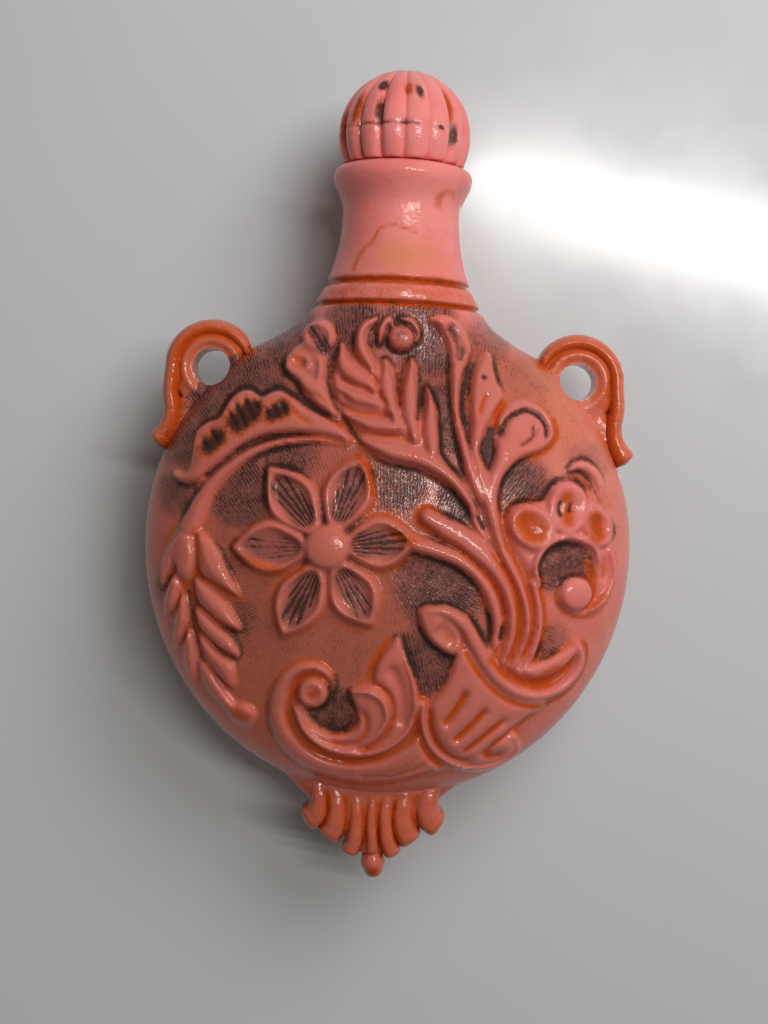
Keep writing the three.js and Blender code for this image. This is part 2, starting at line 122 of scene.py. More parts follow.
# %% Smooth a line through a few points
def smooth(points, closed=False, pace=0.35):
    """Points about every pace mm on a smooth line through the given ones."""
    p = np.asarray(points, float)
    if closed:
        p = np.vstack([p[-1], p, p[:2]])
    else:
        p = np.vstack([2 * p[0] - p[1], p, 2 * p[-1] - p[-2]])
    runs = []
    for a, b, c, d in zip(p, p[1:], p[2:], p[3:]):
        t1 = math.hypot(*(b - a)) ** 0.5
        t2 = t1 + math.hypot(*(c - b)) ** 0.5
        t3 = t2 + math.hypot(*(d - c)) ** 0.5
        count = max(2, math.ceil(math.hypot(*(c - b)) / pace))
        t = np.linspace(t1, t2, count, endpoint=False)[:, None]
        ab = ((t1 - t) * a + t * b) / t1
        bc = ((t2 - t) * b + (t - t1) * c) / (t2 - t1)
        cd = ((t3 - t) * c + (t - t2) * d) / (t3 - t2)
        abc = ((t2 - t) * ab + t * bc) / t2
        bcd = ((t3 - t) * bc + (t - t1) * cd) / (t3 - t1)
        runs.append(((t2 - t) * abc + (t - t1) * bcd) / (t2 - t1))
    if not closed:
        runs.append(p[-2][None])
    return np.vstack(runs)


def ease(value, low, high):
    """0 below low, 1 above high, and a soft step between."""
    t = np.clip((value - low) / (high - low), 0, 1)
    return t * t * (3 - 2 * t)


# %% [markdown]
# ## Distances
# Each form of the relief is told by a distance: how far a point is from a stem's middle line,
# or how deep it is inside a leaf's outline. Distances make walls, rims, hollows and stain
# lines of any width from one drawing, which is why we prefer them to pushing points about.


# %% Measure to a line and into an outline
def nearest(x, y, line):
    """Distance in mm from each point to a line, and the share of the line walked there."""
    a, step = line[:-1], np.diff(line, axis=0)
    length = np.hypot(step[:, 0], step[:, 1])
    across_x, across_y = x[:, None] - a[:, 0], y[:, None] - a[:, 1]
    t = np.clip((across_x * step[:, 0] + across_y * step[:, 1]) / length**2, 0, 1)
    gap = (across_x - t * step[:, 0]) ** 2 + (across_y - t * step[:, 1]) ** 2
    best = gap.argmin(1)
    rows = np.arange(len(x))
    walked = np.concatenate([[0], np.cumsum(length)])
    share = (walked[best] + t[rows, best] * length[best]) / walked[-1]
    return np.sqrt(gap[rows, best]), share


def depth_inside(x, y, outline):
    """Distance in mm to a closed outline, positive inside it."""
    ring = np.vstack([outline, outline[:1]])
    gap, _ = nearest(x, y, ring)
    (x0, y0), (x1, y1) = ring[:-1].T, ring[1:].T
    crosses = (y0 > y[:, None]) != (y1 > y[:, None])
    rise = np.where(y1 == y0, 1e-9, y1 - y0)
    left = x[:, None] < (x1 - x0) * (y[:, None] - y0) / rise + x0
    inside = (crosses & left).sum(1) % 2 == 1
    return np.where(inside, gap, -gap)


# %% [markdown]
# ## The cutter's list
# The relief could be sculpted by hand, but a list of named cuts keeps it exact and easy to
# correct. Every entry is a stem, a leaf, a knob, a groove or some veins. Working through the
# list fills a sheet of values: the height above the skin, the depth inside the nearest form,
# and how dark or orange the rubbed-in stain is.

# %% Start the list
WALL = 0.55
WALL_FOOT = -0.14
NEAR = 2.5
front_list = []
back_list = []


def note(into, *job):
    """Adds a job to the front's list, or to the one that is named."""
    (front_list if into is None else into).append(job)


class Sheet:
    """The values that the cutter's list gives at every point of one face."""

    def __init__(self, x, y):
        self.x, self.y = np.asarray(x, float), np.asarray(y, float)
        count = len(self.x)
        self.height = np.zeros(count)
        self.edge = np.full(count, -3.0)
        self.dark = np.zeros(count)
        self.orange = np.zeros(count)
        self.vein = np.zeros(count)
        self.vein_across = np.zeros(count)

    def near(self, points, reach):
        """The points of the sheet close to some of the drawing."""
        low, high = np.min(points, 0) - reach, np.max(points, 0) + reach
        return np.flatnonzero(
            (self.x > low[0]) & (self.x < high[0]) & (self.y > low[1]) & (self.y < high[1])
        )

    def lay(self, at, inside, height):
        """Puts a form on the sheet: the higher one shows where two meet."""
        self.height[at] = np.maximum(self.height[at], height)
        self.edge[at] = np.maximum(self.edge[at], inside)


# %% [markdown]
# ## Stems, leaves and knobs
# A stem is a line with a width. Its wall rises over half a millimetre, as it must to leave the
# mould, and its top is slightly round. A leaf is an outline, with a raised rim where it is
# dished. A knob is a round or oval button.


# %% Cut the raised forms
def stem(points, widths, rise=0.95, crown=0.25, hollow=0.0, into=None):
    """A raised line that may change its width and have a channel in its middle."""
    note(into, "stem", smooth(points), widths, rise, crown, hollow)


def leaf(points, rise=0.9, swell=0.15, rim=0.0, hollow=0.0, into=None):
    """A raised outline, swollen in its middle or dished inside a rim."""
    note(into, "leaf", smooth(points, closed=True), rise, swell, rim, hollow)


def knob(x, y, rx, ry, rise=1.0, dome=0.4, pit=0.0, turn=0.0, into=None):
    """A round or oval button, domed or with a pit."""
    note(into, "knob", (x, y), (rx, ry), rise, dome, pit, turn)


def cut_stem(sheet, line, widths, rise, crown, hollow):
    at = sheet.near(line, NEAR)
    gap, share = nearest(sheet.x[at], sheet.y[at], line)
    half = np.interp(share, np.linspace(0, 1, len(widths)), np.maximum(widths, 0.16)) / 2
    top = rise * np.minimum(1, 0.5 + half * 0.75)
    wall = ease(half - gap, WALL_FOOT, np.minimum(WALL - 0.1, half * 0.95))
    round_top = 1 - crown * np.minimum(gap / half, 1) ** 2
    channel = 1 - hollow * (1 - ease(gap / half, 0.2, 0.75))
    sheet.lay(at, half - gap, top * wall * round_top * channel)


def cut_leaf(sheet, outline, rise, swell, rim, hollow):
    at = sheet.near(outline, NEAR)
    inside = depth_inside(sheet.x[at], sheet.y[at], outline)
    height = rise * ease(inside, WALL_FOOT, WALL - 0.08) + swell * ease(inside, 0.2, 1.6)
    if hollow:
        height *= 1 - hollow * ease(inside, rim * 0.75, rim * 1.9)
    sheet.lay(at, inside, height)


def cut_knob(sheet, centre, radii, rise, dome, pit, turn):
    at = sheet.near(np.array([centre]), max(radii) + 1)
    angle = math.radians(turn)
    dx, dy = sheet.x[at] - centre[0], sheet.y[at] - centre[1]
    u = (dx * math.cos(angle) + dy * math.sin(angle)) / radii[0]
    v = (dy * math.cos(angle) - dx * math.sin(angle)) / radii[1]
    radius = np.hypot(u, v)
    inside = (1 - radius) * min(radii)
    ball = np.sqrt(np.clip(1 - radius**2, 0, 1))
    height = rise * ease(inside, WALL_FOOT, WALL - 0.1) * (1 - dome + dome * ball)
    height *= 1 - pit * (1 - ease(radius, 0.25, 0.8))
    sheet.lay(at, inside, height)


# %% [markdown]
# ## Grooves, veins and stain
# Grooves take height away again, and the stain runs along them. A vein group marks a hollow
# whose fine lines are too thin for the mesh. The mesh only carries the distance across the
# lines, and the material draws them, as sharp as the camera can see.


# %% Cut grooves and mark the stain
def groove(points, width=0.4, depth=0.35, dark=0.0, orange=0.8, into=None):
    """A line cut into the forms, with stain in it."""
    note(into, "groove", smooth(points), width, depth, dark, orange)


def smudge(points, width, dark=0.0, orange=0.0, into=None):
    """Stain alone: a soft patch or streak of it, with nothing cut away."""
    groove(points, width, 0.0, dark, orange, into)


def veins(start, end, width, strength=1.0, fan=1000.0, into=None):
    """Fine lines from start to end in a patch. They spread from a point that lies fan mm before."""
    note(into, "veins", start, end, width, strength, fan)


def cut_groove(sheet, line, width, depth, dark, orange):
    at = sheet.near(line, width + 0.6)
    gap, share = nearest(sheet.x[at], sheet.y[at], line)
    length = np.hypot(*np.diff(line, axis=0).T).sum()
    end = min(0.35, 0.6 / length) if depth else 0.0
    taper = ease(np.minimum(share, 1 - share), -0.02, end) if depth else 1.0
    shape = np.exp(-1.3 * (2 * gap / (width + 0.16)) ** 2) * taper
    lowest = np.minimum(sheet.height[at], 0.05)
    sheet.height[at] = np.maximum(sheet.height[at] - depth * shape, lowest)
    sheet.dark[at] = np.maximum(sheet.dark[at], dark * shape)
    sheet.orange[at] = np.maximum(sheet.orange[at], orange * shape)


def cut_veins(sheet, start, end, width, strength, fan):
    line = np.array([start, end], float)
    at = sheet.near(line, width)
    along = (line[1] - line[0]) / np.hypot(*(line[1] - line[0]))
    across = (sheet.y[at] - start[1]) * along[0] - (sheet.x[at] - start[0]) * along[1]
    ahead = (sheet.x[at] - start[0]) * along[0] + (sheet.y[at] - start[1]) * along[1]
    half = np.hypot(*(line[1] - line[0])) / 2
    across *= (fan + half) / np.maximum(fan + ahead, 0.5)
    _, share = nearest(sheet.x[at], sheet.y[at], line)
    gap = np.hypot(
        sheet.x[at] - (start[0] + share * (end[0] - start[0])),
        sheet.y[at] - (start[1] + share * (end[1] - start[1])),
    )
    mask = strength * (1 - ease(gap / (width / 2), 0.6, 1.05))
    found = mask > sheet.vein[at]
    sheet.vein[at[found]] = mask[found]
    sheet.vein_across[at[found]] = across[found]


# %% [markdown]
# ## Carving
# `carve` does all raised forms of a list first, and then the grooves and the stain. It looks
# at four places close to each point and takes the mean, so that no edge of the relief is
# jagged.

# %% Carve a sheet
RAISING = {"stem": cut_stem, "leaf": cut_leaf, "knob": cut_knob}
MARKING = {"groove": cut_groove, "veins": cut_veins}
VALUES = ("height", "edge", "dark", "orange", "vein", "vein_across")


def carve(x, y, jobs, spread=0.11):
    """A sheet with every job of the list done, as a mean of four close looks."""
    looks = []
    for dx, dy in ((-spread, -spread), (spread, -spread), (-spread, spread), (spread, spread)):
        sheet = Sheet(x + dx, y + dy)
        for cutters in (RAISING, MARKING):
            for kind, *how in jobs:
                if kind in cutters:
                    cutters[kind](sheet, *how)
        looks.append(sheet)
    mean = Sheet(x, y)
    for name in VALUES:
        setattr(mean, name, sum(getattr(look, name) for look in looks) / 4)
    return mean


# %% [markdown]
# ## The flower
# Six pointed petals stand round a button. Each has a raised rim of 0.6 mm and a dish with fine
# lines in it. A function draws one petal from its direction, length and width, because the six
# differ only in those.

# %% Draw the flower
FLOWER = (-5.4, 0.1)
BOSS = 2.2
PETALS = [
    (183, 8.7, 4.9, 0.75), (129, 9, 4.7, 1), (71, 8.85, 4.6, 0.9), (7, 8.1, 4.8, 0.95),
    (-58, 8.3, 4.6, 0.8), (-114.5, 9.2, 4.6, 0.95),
]
PETAL_SHAPE = [(0.2, 0.3), (0.36, 0.74), (0.54, 1), (0.7, 0.93), (0.84, 0.62), (0.94, 0.27), (1, 0)]


def petal(centre, degrees, length, width, rise=0.95, hollow=0.72, lines=1.0, into=None):
    """A pointed petal with a rim, and veins that fan out in its dish."""
    angle = math.radians(degrees)
    axis, side = (math.cos(angle), math.sin(angle)), (-math.sin(angle), math.cos(angle))
    edge = [(r * length, h * width / 2) for r, h in PETAL_SHAPE]
    edge += [(r, -h) for r, h in reversed(edge[:-1])]

    def place(r, h=0):
        return (centre[0] + axis[0] * r + side[0] * h, centre[1] + axis[1] * r + side[1] * h)

    leaf([place(r, h) for r, h in edge], rise=rise, swell=0.0, rim=0.62, hollow=hollow, into=into)
    start = 0.4 * length
    veins(place(start), place(0.74 * length), width * 0.62, lines, start, into=into)
    middle = [place(0.42 * length), place(0.7 * length)]
    smudge(middle, width * 0.34, dark=0.42 * lines, into=into)


for degrees, length, width, lines in PETALS:
    petal(FLOWER, degrees, length, width, lines=lines)
knob(*FLOWER, BOSS, BOSS, rise=1.65, dome=0.55)
groove([(-11.2, 8.2), (-11.2, 6), (-10.95, 4), (-10.8, 2.9)], 0.34, 0.2, dark=0.9, orange=0)
smudge([(0.4, 1.6), (2.2, 0.9)], 1.2, orange=0.8)
smudge([(-12.6, -1.2), (-9, -2.5), (-7.4, -1.9)], 0.9, orange=0.7)
smudge([(-3.0, 8.4), (-1.9, 7), (-1.6, 5)], 0.8, orange=0.9)
smudge([(-10.2, -3.2), (-9.9, -6.5), (-9, -8)], 0.7, orange=0.6)
smudge([(-4.6, -6.6), (-2.6, -7.3), (-0.9, -6.5)], 0.8, orange=0.5)
print("jobs so far:", len(front_list))

# %% [markdown]
# ## The left spray
# An arched stem rises on the left, with a scalloped leaf lying on it and a feather leaf hanging
# from its foot. The scallops have dark pits with small ribs between.

# %% Draw the scalloped leaf and its stem
stem([(-18.1, 1.2), (-17.2, 3.3), (-16.1, 5.2), (-14.3, 7), (-12.2, 8.45), (-10, 9.25), (-7, 9.6),
    (-4, 9.5)], [2, 1.6, 1.3, 1.1, 0.9, 0.6, 0.5])
leaf(
    [(-19.9, 5.7), (-19.2, 5.2), (-18.3, 5.1), (-17.2, 5.5), (-16, 6.5), (-14.5, 7.8), (-12.5, 9.2),
     (-10.5, 9.9), (-8, 10.1), (-6, 9.9), (-4.2, 9.5), (-3.4, 9.7), (-4, 10.5), (-4.7, 11.1),
     (-6.3, 11.9), (-8, 12.7), (-9.2, 13.6), (-10.3, 14.1), (-11.3, 13.8), (-12, 13.4), (-12.7, 13.9),
     (-13.4, 14.1), (-14.3, 13.8), (-15.1, 12.9), (-15.6, 11.9), (-15.9, 11.4), (-16.9, 11),
     (-17.9, 10.2), (-18.2, 9), (-18.3, 7.3), (-18.5, 6.5), (-19, 6.2), (-19.6, 6.4), (-20.05, 6.2)],
    rise=0.95,
)
groove([(-17.1, 5.6), (-15, 7.4), (-13, 8.95), (-11, 9.75), (-9.7, 9.9)], 0.42, 0.5, dark=0.9, orange=0.6)
groove([(-9.7, 9.9), (-8, 9.95), (-6, 9.8), (-4, 9.45)], 0.3, 0.25, dark=0.1, orange=0.9)
PITS = [
    ((-16.7, 8.6), (-15.8, 9.5), 1.9), ((-14.0, 10.9), (-12.7, 12.1), 2.5),
    ((-10.9, 11.7), (-10.0, 12.3), 1.8),
]
for start, end, width in PITS:
    smudge([start, end], width + 0.5, orange=1.0)
    smudge([start, end], width, dark=0.95)
for ribs in [
    [(-17.2, 9.5), (-16.4, 8)], [(-16.6, 10.4), (-15.4, 8.7)],
    [(-15, 12.1), (-13.9, 10.2)], [(-14.4, 12.9), (-13, 10.2)], [(-13.6, 13.3), (-12.3, 10.9)],
    [(-12.8, 13.2), (-11.9, 11.7)], [(-11.6, 12.4), (-10.9, 11.3)], [(-11, 12.8), (-10.1, 11.2)],
    [(-10.2, 12.9), (-9.5, 11.7)],
]:
    groove(ribs, 0.44, 0.45, dark=1.0, orange=0)
groove([(-9.3, 12.6), (-8.2, 11.5), (-7, 11.1)], 0.45, 0.2, dark=0.1, orange=0.8)
smudge([(-18, 8.6), (-17.6, 7.4), (-18.6, 6.2)], 0.9, orange=0.5)
smudge([(-15.6, 11.6), (-15, 11)], 0.8, orange=0.7)
smudge([(-6, 11.8), (-4.6, 10.9)], 0.7, orange=0.8)

# %% Draw the feather leaf
knob(-18.45, -1.25, 2.75, 1.2, rise=1.05, dome=0.5, turn=92)
FEATHER = [
    [(-18.9, 0.9), (-20.2, -0.7), (-20.95, -2.9), (-20.75, -4.8), (-19.7, -3), (-18.9, -1.4)],
    [(-19.3, -2.9), (-20.2, -4.6), (-20.3, -7.1), (-19.3, -6.6), (-18.6, -5), (-18.7, -3.7)],
    [(-18.6, -4.5), (-19.3, -7), (-19.3, -10.2), (-18.2, -8.9), (-17.8, -7), (-18, -5.4)],
    [(-18, -7.8), (-18.5, -10.8), (-17.6, -13.8), (-16.9, -12), (-17, -10), (-17.3, -8.6)],
    [(-17.2, 1), (-15.5, -0.2), (-14.2, -2.4), (-13.1, -4.9), (-15, -4.1), (-16.9, -3)],
    [(-17.4, -3.2), (-15.4, -4.4), (-13.7, -6.2), (-12.8, -7.9), (-14.9, -7.4), (-17, -5.7)],
    [(-17.3, -5.9), (-15, -7.5), (-13.3, -9), (-13, -10.4), (-14.6, -10), (-16.8, -8.2)],
    [(-17, -8.2), (-14.9, -10), (-13.3, -11.2), (-13.6, -13.5), (-15.2, -12.2), (-16.6, -10)],
]
for outline in FEATHER:
    leaf(outline, rise=0.8, swell=0.35)
stem([(-16.7, -9.6), (-16, -12.2), (-14.9, -14.1), (-13.6, -15.4)], [0.8, 1.8, 1.7, 1.3], rise=0.85,
    crown=0.4)
knob(-12.7, -15.9, 1.5, 1.25, rise=0.9, dome=0.5)
groove([(-18.1, -4), (-17.7, -6.4), (-17.2, -8.8), (-16.4, -11.4)], 0.4, 0.4, dark=0.75, orange=0.5)
for line in [
    [(-17.4, -2.9), (-15.9, -3.6), (-14.6, -4.3), (-13, -5)], [(-17.4, -5.6), (-16, -6.5), (-14.8, -7.5),
        (-12.9, -8.1)],
    [(-17.1, -8), (-15.6, -9.1), (-14.6, -10.1), (-13.1, -10.5)], [(-16.9, -9.6), (-15.7, -11.8),
        (-14.7, -12.9), (-13.6, -13.6)],
    [(-19, -2), (-19.6, -3), (-20.7, -4.9)], [(-18.6, -4.4), (-19.3, -6.6), (-20.2, -7.2)],
    [(-18.1, -7.6), (-18.3, -8.9), (-19.2, -10.3)],
]:
    groove(line, 0.42, 0.32, dark=0.35, orange=0.85)
smudge([(-18.9, -12), (-16.6, -14.5), (-13.4, -15.4)], 1.2, orange=0.45)
smudge([(-13.2, -15.7), (-12.3, -16.1)], 1.6, orange=0.7)
smudge([(-17.6, 1.1), (-17, -1), (-17.1, -3)], 0.9, orange=0.7)
smudge([(-19.8, 1.2), (-20.4, -0.4)], 0.6, orange=0.7)
print("jobs so far:", len(front_list))

# %% [markdown]
# ## The leaves at the top
# A bud leaf with two lobes leans on a large leaf with five fingers. The fingers share one
# outline, and a ridge on each rounds it. The orange grooves that run across are its veins.

# %% Draw the bud leaf and the fingered leaf
leaf(
    [(-8.6, 18.5), (-8.5, 19.6), (-7.8, 20.4), (-6.9, 20.6), (-6, 20.2), (-5.4, 19.3), (-5.5, 18.3),
     (-5.95, 17.5), (-6.15, 16), (-6.05, 14.7), (-5.7, 13.5), (-5.1, 12.5), (-4.5, 11.7), (-5.2, 11.6),
     (-6.3, 12.1), (-7.3, 12.8), (-8.2, 13.7), (-8.8, 14.8), (-9.3, 15.1), (-9.9, 15.8), (-10.1, 16.5),
     (-9.8, 17.4), (-9.2, 18)],
    rise=0.6, swell=0.1,
)
knob(-7.0, 19.05, 1.7, 1.55, rise=1.05, dome=0.1, pit=0.5, turn=-40)
knob(-8.75, 16.55, 1.45, 1.3, rise=1.0, dome=0.15, pit=0.35, turn=20)
stem([(-8.2, 14.9), (-7.2, 14.2), (-6.3, 13.2), (-5.3, 12.2)], [1.2, 1.9, 1.7, 1.2], rise=1.1)
stem([(-7.6, 16.6), (-6.9, 17), (-6.7, 15.8), (-6.9, 14.8)], [0.8, 1.2, 1.2, 0.9], rise=1.1)
veins((-7.6, 19.6), (-6.5, 17.9), 1.5, 1.0)
smudge([(-7.5, 19.3), (-7, 18.7), (-6.5, 17.9)], 1.1, dark=0.6)
groove([(-9, 16.9), (-8.5, 16.4), (-7.9, 16.5)], 0.9, 0.4, dark=0.1, orange=0.6)
groove([(-9.2, 18), (-8, 17.5), (-7.3, 17.3)], 0.4, 0.25, dark=0.1, orange=0.5)
groove([(-8.6, 15.7), (-7.8, 15.7), (-7.1, 15.3)], 0.3, 0.22, dark=0.5, orange=0)
groove([(-6.9, 19.3), (-6.4, 18.5), (-6.15, 17.6)], 0.3, 0.25, dark=0.8, orange=0)
groove([(-8, 13.9), (-6.6, 13.4), (-5.7, 12.9)], 0.4, 0.25, dark=0.1, orange=0.6)
smudge([(-9.3, 17.3), (-8.9, 16.5)], 1.1, orange=0.7)
leaf(
    [(-4.9, 18.8), (-4.45, 18), (-3.85, 17.3), (-3.8, 18.4), (-3.5, 19.6), (-2.8, 20.5), (-1.8, 21),
     (-1.7, 20.6), (-2.3, 20), (-2.5, 19.1), (-2.4, 18.1), (-2.1, 17.3), (-1.7, 16.4), (-1.3, 16.9),
     (-0.9, 17.25), (-0.5, 17), (-0.1, 16.2), (0.15, 15), (0.2, 13.6), (0.45, 13.3), (0.6, 14),
     (0.6, 15.5), (0.9, 16.6), (1.5, 17.4), (2, 16.6), (2.15, 15), (2.05, 13.5), (2.2, 12.2), (2.45, 13),
     (2.6, 14.2), (2.9, 14.95), (3.35, 14.2), (3.75, 13.1), (4, 11.8), (4.1, 10.2), (4.35, 9), (5, 8),
     (6, 6.8), (7, 5.5), (7.7, 4.3), (7.2, 3.9), (6.3, 4.9), (5, 5.95), (3.5, 6.85), (2.3, 7.35),
     (1, 7.55), (0, 7.7), (-1.3, 8.2), (-2.2, 9.1), (-3, 10), (-3.9, 11.2), (-4.8, 12.5), (-5.4, 13.7),
     (-5.65, 15), (-5.55, 16), (-5.4, 17.3)],
    rise=0.6, swell=0.1,
)
for line, widths in [
    ([(-4.9, 18.2), (-4.6, 16.6), (-3.4, 15.4), (-1.6, 14.4)], [0.5, 1.9, 2.2, 1.4]),
    ([(-1.9, 20.7), (-2.9, 20), (-3.2, 18.5), (-2.6, 17), (-1.6, 15.4)], [0.5, 1.2, 1.5, 1.5, 1.0]),
    ([(-0.9, 17), (-0.75, 15.2), (-0.5, 13.4), (0.3, 11.6)], [0.5, 1.8, 1.8, 1.2]),
    ([(1.45, 17.1), (1.35, 15), (1.4, 12.8), (2, 10)], [0.5, 1.7, 1.9, 1.3]),
    ([(3, 14.5), (3.25, 13), (3.3, 11), (3.6, 8.8)], [0.5, 1.5, 1.8, 1.5]),
    ([(-5.1, 14.4), (-3.4, 13.6), (-1.4, 13)], [0.6, 1.7, 1.2]),
    ([(-4.4, 12), (-2, 11.2), (0.8, 10.9)], [0.6, 1.7, 1.2]),
    ([(-2.8, 9.7), (0, 8.9), (3, 8.2), (5.4, 6.6), (7.2, 4.4)], [0.8, 2.0, 1.9, 1.4, 0.9]),
]:
    stem(line, widths, rise=1.4, crown=0.55)
for line, width, dark, orange in [
    ([(-4.3, 18), (-3.7, 17.3), (-3, 16.7), (-2, 15.9)], 0.36, 0.3, 0.8),
    ([(-5.3, 15.6), (-4, 14.9), (-2.6, 14.4), (-1.7, 13.9)], 0.36, 0.15, 0.9),
    ([(-5, 13), (-3.8, 12.4), (-2, 12.1), (0.2, 12)], 0.36, 0.1, 0.9),
    ([(-3.9, 10.6), (-1.6, 10.3), (0.2, 10.2), (1.9, 9.8)], 0.34, 0.1, 0.8),
    ([(0.4, 16.4), (0.35, 15), (0.4, 13.6), (0.7, 12.4)], 0.42, 0.45, 0.8),
    ([(2.25, 15.4), (2.4, 14), (2.25, 12.6), (2.15, 11.4)], 0.5, 0.85, 0.6),
    ([(-1.8, 16.2), (-1.7, 15), (-1.2, 13.8), (-0.4, 12.6)], 0.3, 0.1, 0.9),
]:
    groove(line, width, 0.45, dark, orange)
groove([(-5.35, 18.6), (-5.8, 17.2), (-5.9, 15.9), (-5.95, 14.8), (-5.55, 13.5), (-4.95, 12.4),
    (-4.2, 11.4), (-3.3, 10.1), (-2.4, 9)], 0.42, 0.6, 0.85, 0.5)
knob(0.4, 19.1, 1.3, 1.25, rise=1.2, dome=0.5)
stem([(-1.5, 18.6), (-1.3, 20), (-0.7, 20.75), (-0.4, 20.1)], [0.4, 0.9, 0.8, 0.3], rise=0.95)
stem([(0.2, 20.9), (1.2, 20.7), (1.9, 19.9), (1.9, 18.8)], [0.3, 0.6, 0.6, 0.3], rise=0.6)
smudge([(0.4, 19.6), (0.4, 18.8)], 2.4, dark=0.42)
print("jobs so far:", len(front_list))

# %% [markdown]
# ## The right spray
# A hooked leaf, a pointed leaf and a bud rolled like a snail share one root, with a dark slot
# between each pair. Below them a shell of three scallops curls round to a ball.

# %% Draw the hooked leaf, the pointed leaf and the snail bud
leaf(
    [(2.8, 21), (3.5, 21.35), (4.3, 21.45), (5.2, 21.2), (6, 20.5), (6.55, 19.5), (6.8, 18.5),
     (6.7, 17.5), (6.3, 16.4), (6.05, 15), (5.95, 13.5), (6.1, 12), (6.5, 10.9), (7, 9.4), (7.5, 8),
     (8, 6.5), (8.5, 5), (8, 4.4), (7.2, 5.6), (6.5, 7.2), (6.1, 8.5), (5.7, 10), (5.35, 11.5), (5.1, 13),
     (4.95, 14.6), (4.85, 16), (4.75, 18), (4.35, 19.2), (3.6, 20.3)],
    rise=0.95,
)
groove([(4.4, 20.7), (5.2, 19.8), (5.75, 18.4), (5.7, 17)], 1.3, 0.5, dark=0.66, orange=0.05)
leaf(
    [(8.3, 18.4), (8.85, 17.8), (9, 16.8), (9.35, 15.6), (10, 14.3), (9.6, 13.5), (9, 12.4), (8.65, 11.5),
     (8.2, 10.4), (7.9, 9.4), (7.9, 8.2), (8, 7.2), (7.3, 7.2), (7, 8.6), (6.85, 10), (6.9, 11.5),
     (6.8, 13), (6.75, 14.5), (6.9, 16), (7.2, 17), (7.6, 17.8)],
    rise=0.9, swell=0.25,
)
groove([(6.95, 17), (6.4, 15.8), (6.15, 13.8), (6.3, 12.2), (6.7, 10.9)], 0.62, 0.8, 1.0, 0.2)
groove([(8.2, 16.3), (7.85, 15.5)], 0.5, 0.3, 0.95, 0.1)
groove([(8.5, 14.7), (7.9, 13.4), (7.7, 12.1)], 0.4, 0.3, 0.25, 0.9)
smudge([(7.3, 16.3), (7.1, 14)], 0.6, orange=0.5)
smudge([(9.9, 13.6), (9.3, 12.6), (9.2, 11.4)], 0.9, dark=0.1, orange=0.9)
leaf(
    [(9.25, 12.2), (9.8, 13.2), (10.7, 13.85), (11.9, 14.1), (13.1, 13.8), (14.1, 13), (14.6, 12),
     (14.7, 11), (14.2, 10), (13.3, 9.3), (12, 8.8), (10.9, 8), (10.1, 6.9), (9.7, 5.5), (9.75, 4),
     (10.2, 2.4), (9.8, 1.6), (9.1, 2.4), (8.8, 3.6), (8.3, 5), (8.2, 6.2), (8.5, 7.2), (8.95, 8.2),
     (9.1, 9.4), (9.05, 10.8)],
    rise=0.95,
)
stem([(7.6, 8.6), (8.1, 6.6), (8.8, 4.6), (9.4, 2.6), (10, 0.9)], [1.2, 1.4, 1.3, 1.2, 1.0], rise=1.0)
groove([(9.55, 10.2), (9.8, 11.4), (10.4, 12.3), (11.2, 12.85), (12, 13.05), (12.9, 12.75), (13.6, 12.05),
    (13.9, 11.2), (13.85, 10.3)], 0.5, 0.6, 0.9, 0.5)
groove([(12.35, 12), (12.75, 11.2), (12.4, 10.4), (11.8, 10), (11.2, 9.8)], 0.4, 0.35, 0.7, 0.6)
groove([(9.1, 11.7), (8.75, 10.8), (8.5, 9.4), (8.4, 8)], 0.95, 1.1, 1.0, 0.1)
smudge([(14.6, 12.4), (14.9, 11), (14, 9.6), (12.6, 8.8)], 0.8, orange=0.9)
groove([(9.9, 4.6), (9.95, 3.2), (10.4, 1.4), (10.9, 0)], 0.4, 0.5, 0.25, 0.9)

# %% Draw the shell leaf
leaf(
    [(10.75, 1.5), (10.65, 2.6), (11, 3.6), (11.8, 4.5), (12.8, 4.9), (13.6, 5), (14.1, 5.9), (14.8, 6.7),
     (15.6, 6.95), (16.6, 6.6), (17.5, 6), (18, 5.2), (18.6, 5.1), (19.3, 4.7), (20, 3.9), (20.35, 3),
     (20.5, 2), (20.4, 1.2), (20.9, 0.3), (21.1, -1), (21, -2.4), (20.4, -4), (19.5, -5), (18.3, -5.5),
     (17, -5.3), (16.2, -4.9), (17.4, -5.05), (18.5, -4.6), (19.1, -3.5), (19.1, -2.2), (18.8, -1),
     (18.75, -0.3), (18.3, 0.5), (17.5, 1.1), (16.4, 1.5), (15.4, 1.4), (14.3, 0.7), (13.6, -0.2),
     (13.5, -1.2), (13.9, -2.8), (13.4, -3.2), (12.8, -1.8), (12, -0.5), (11.2, 0.5)],
    rise=0.45, swell=0.05,
)
for x, y, rx, ry, turn in [(12.75, 2.6, 2.6, 2.05, -40), (16.0, 4.35, 2.15, 2.65, 0),
    (18.95, 2.7, 1.65, 2.1, 25)]:
    knob(x, y, rx, ry, rise=1.2, dome=0.1, pit=0.42, turn=turn)
for line in [
    [(20.3, 0.8), (20.65, -0.7), (20.5, -2.4), (19.8, -4), (18.6, -5)],
    [(13.7, -2.6), (13.2, -1), (13.6, 0.3), (14.6, 1.35), (16.2, 1.85), (17.7, 1.5), (18.9, 0.6),
        (19.3, -0.7)],
]:
    stem(line, [0.6, 0.95, 0.95, 0.95, 0.6], rise=1.35, crown=0.5)
smudge([(12.2, 3.1), (13.1, 2.2)], 2.7, orange=1.0)
smudge([(16, 5.3), (16.1, 3.3)], 2.0, orange=0.8)
smudge([(18.8, 3.4), (19, 2.1)], 2.1, orange=1.0)
groove([(15.5, 5.4), (15.2, 4.3), (15.5, 3.3)], 0.42, 0.3, 1.0, 0.1)
groove([(16.6, 5.2), (16.2, 4.3), (16.25, 3.6)], 0.36, 0.25, 0.9, 0.1)
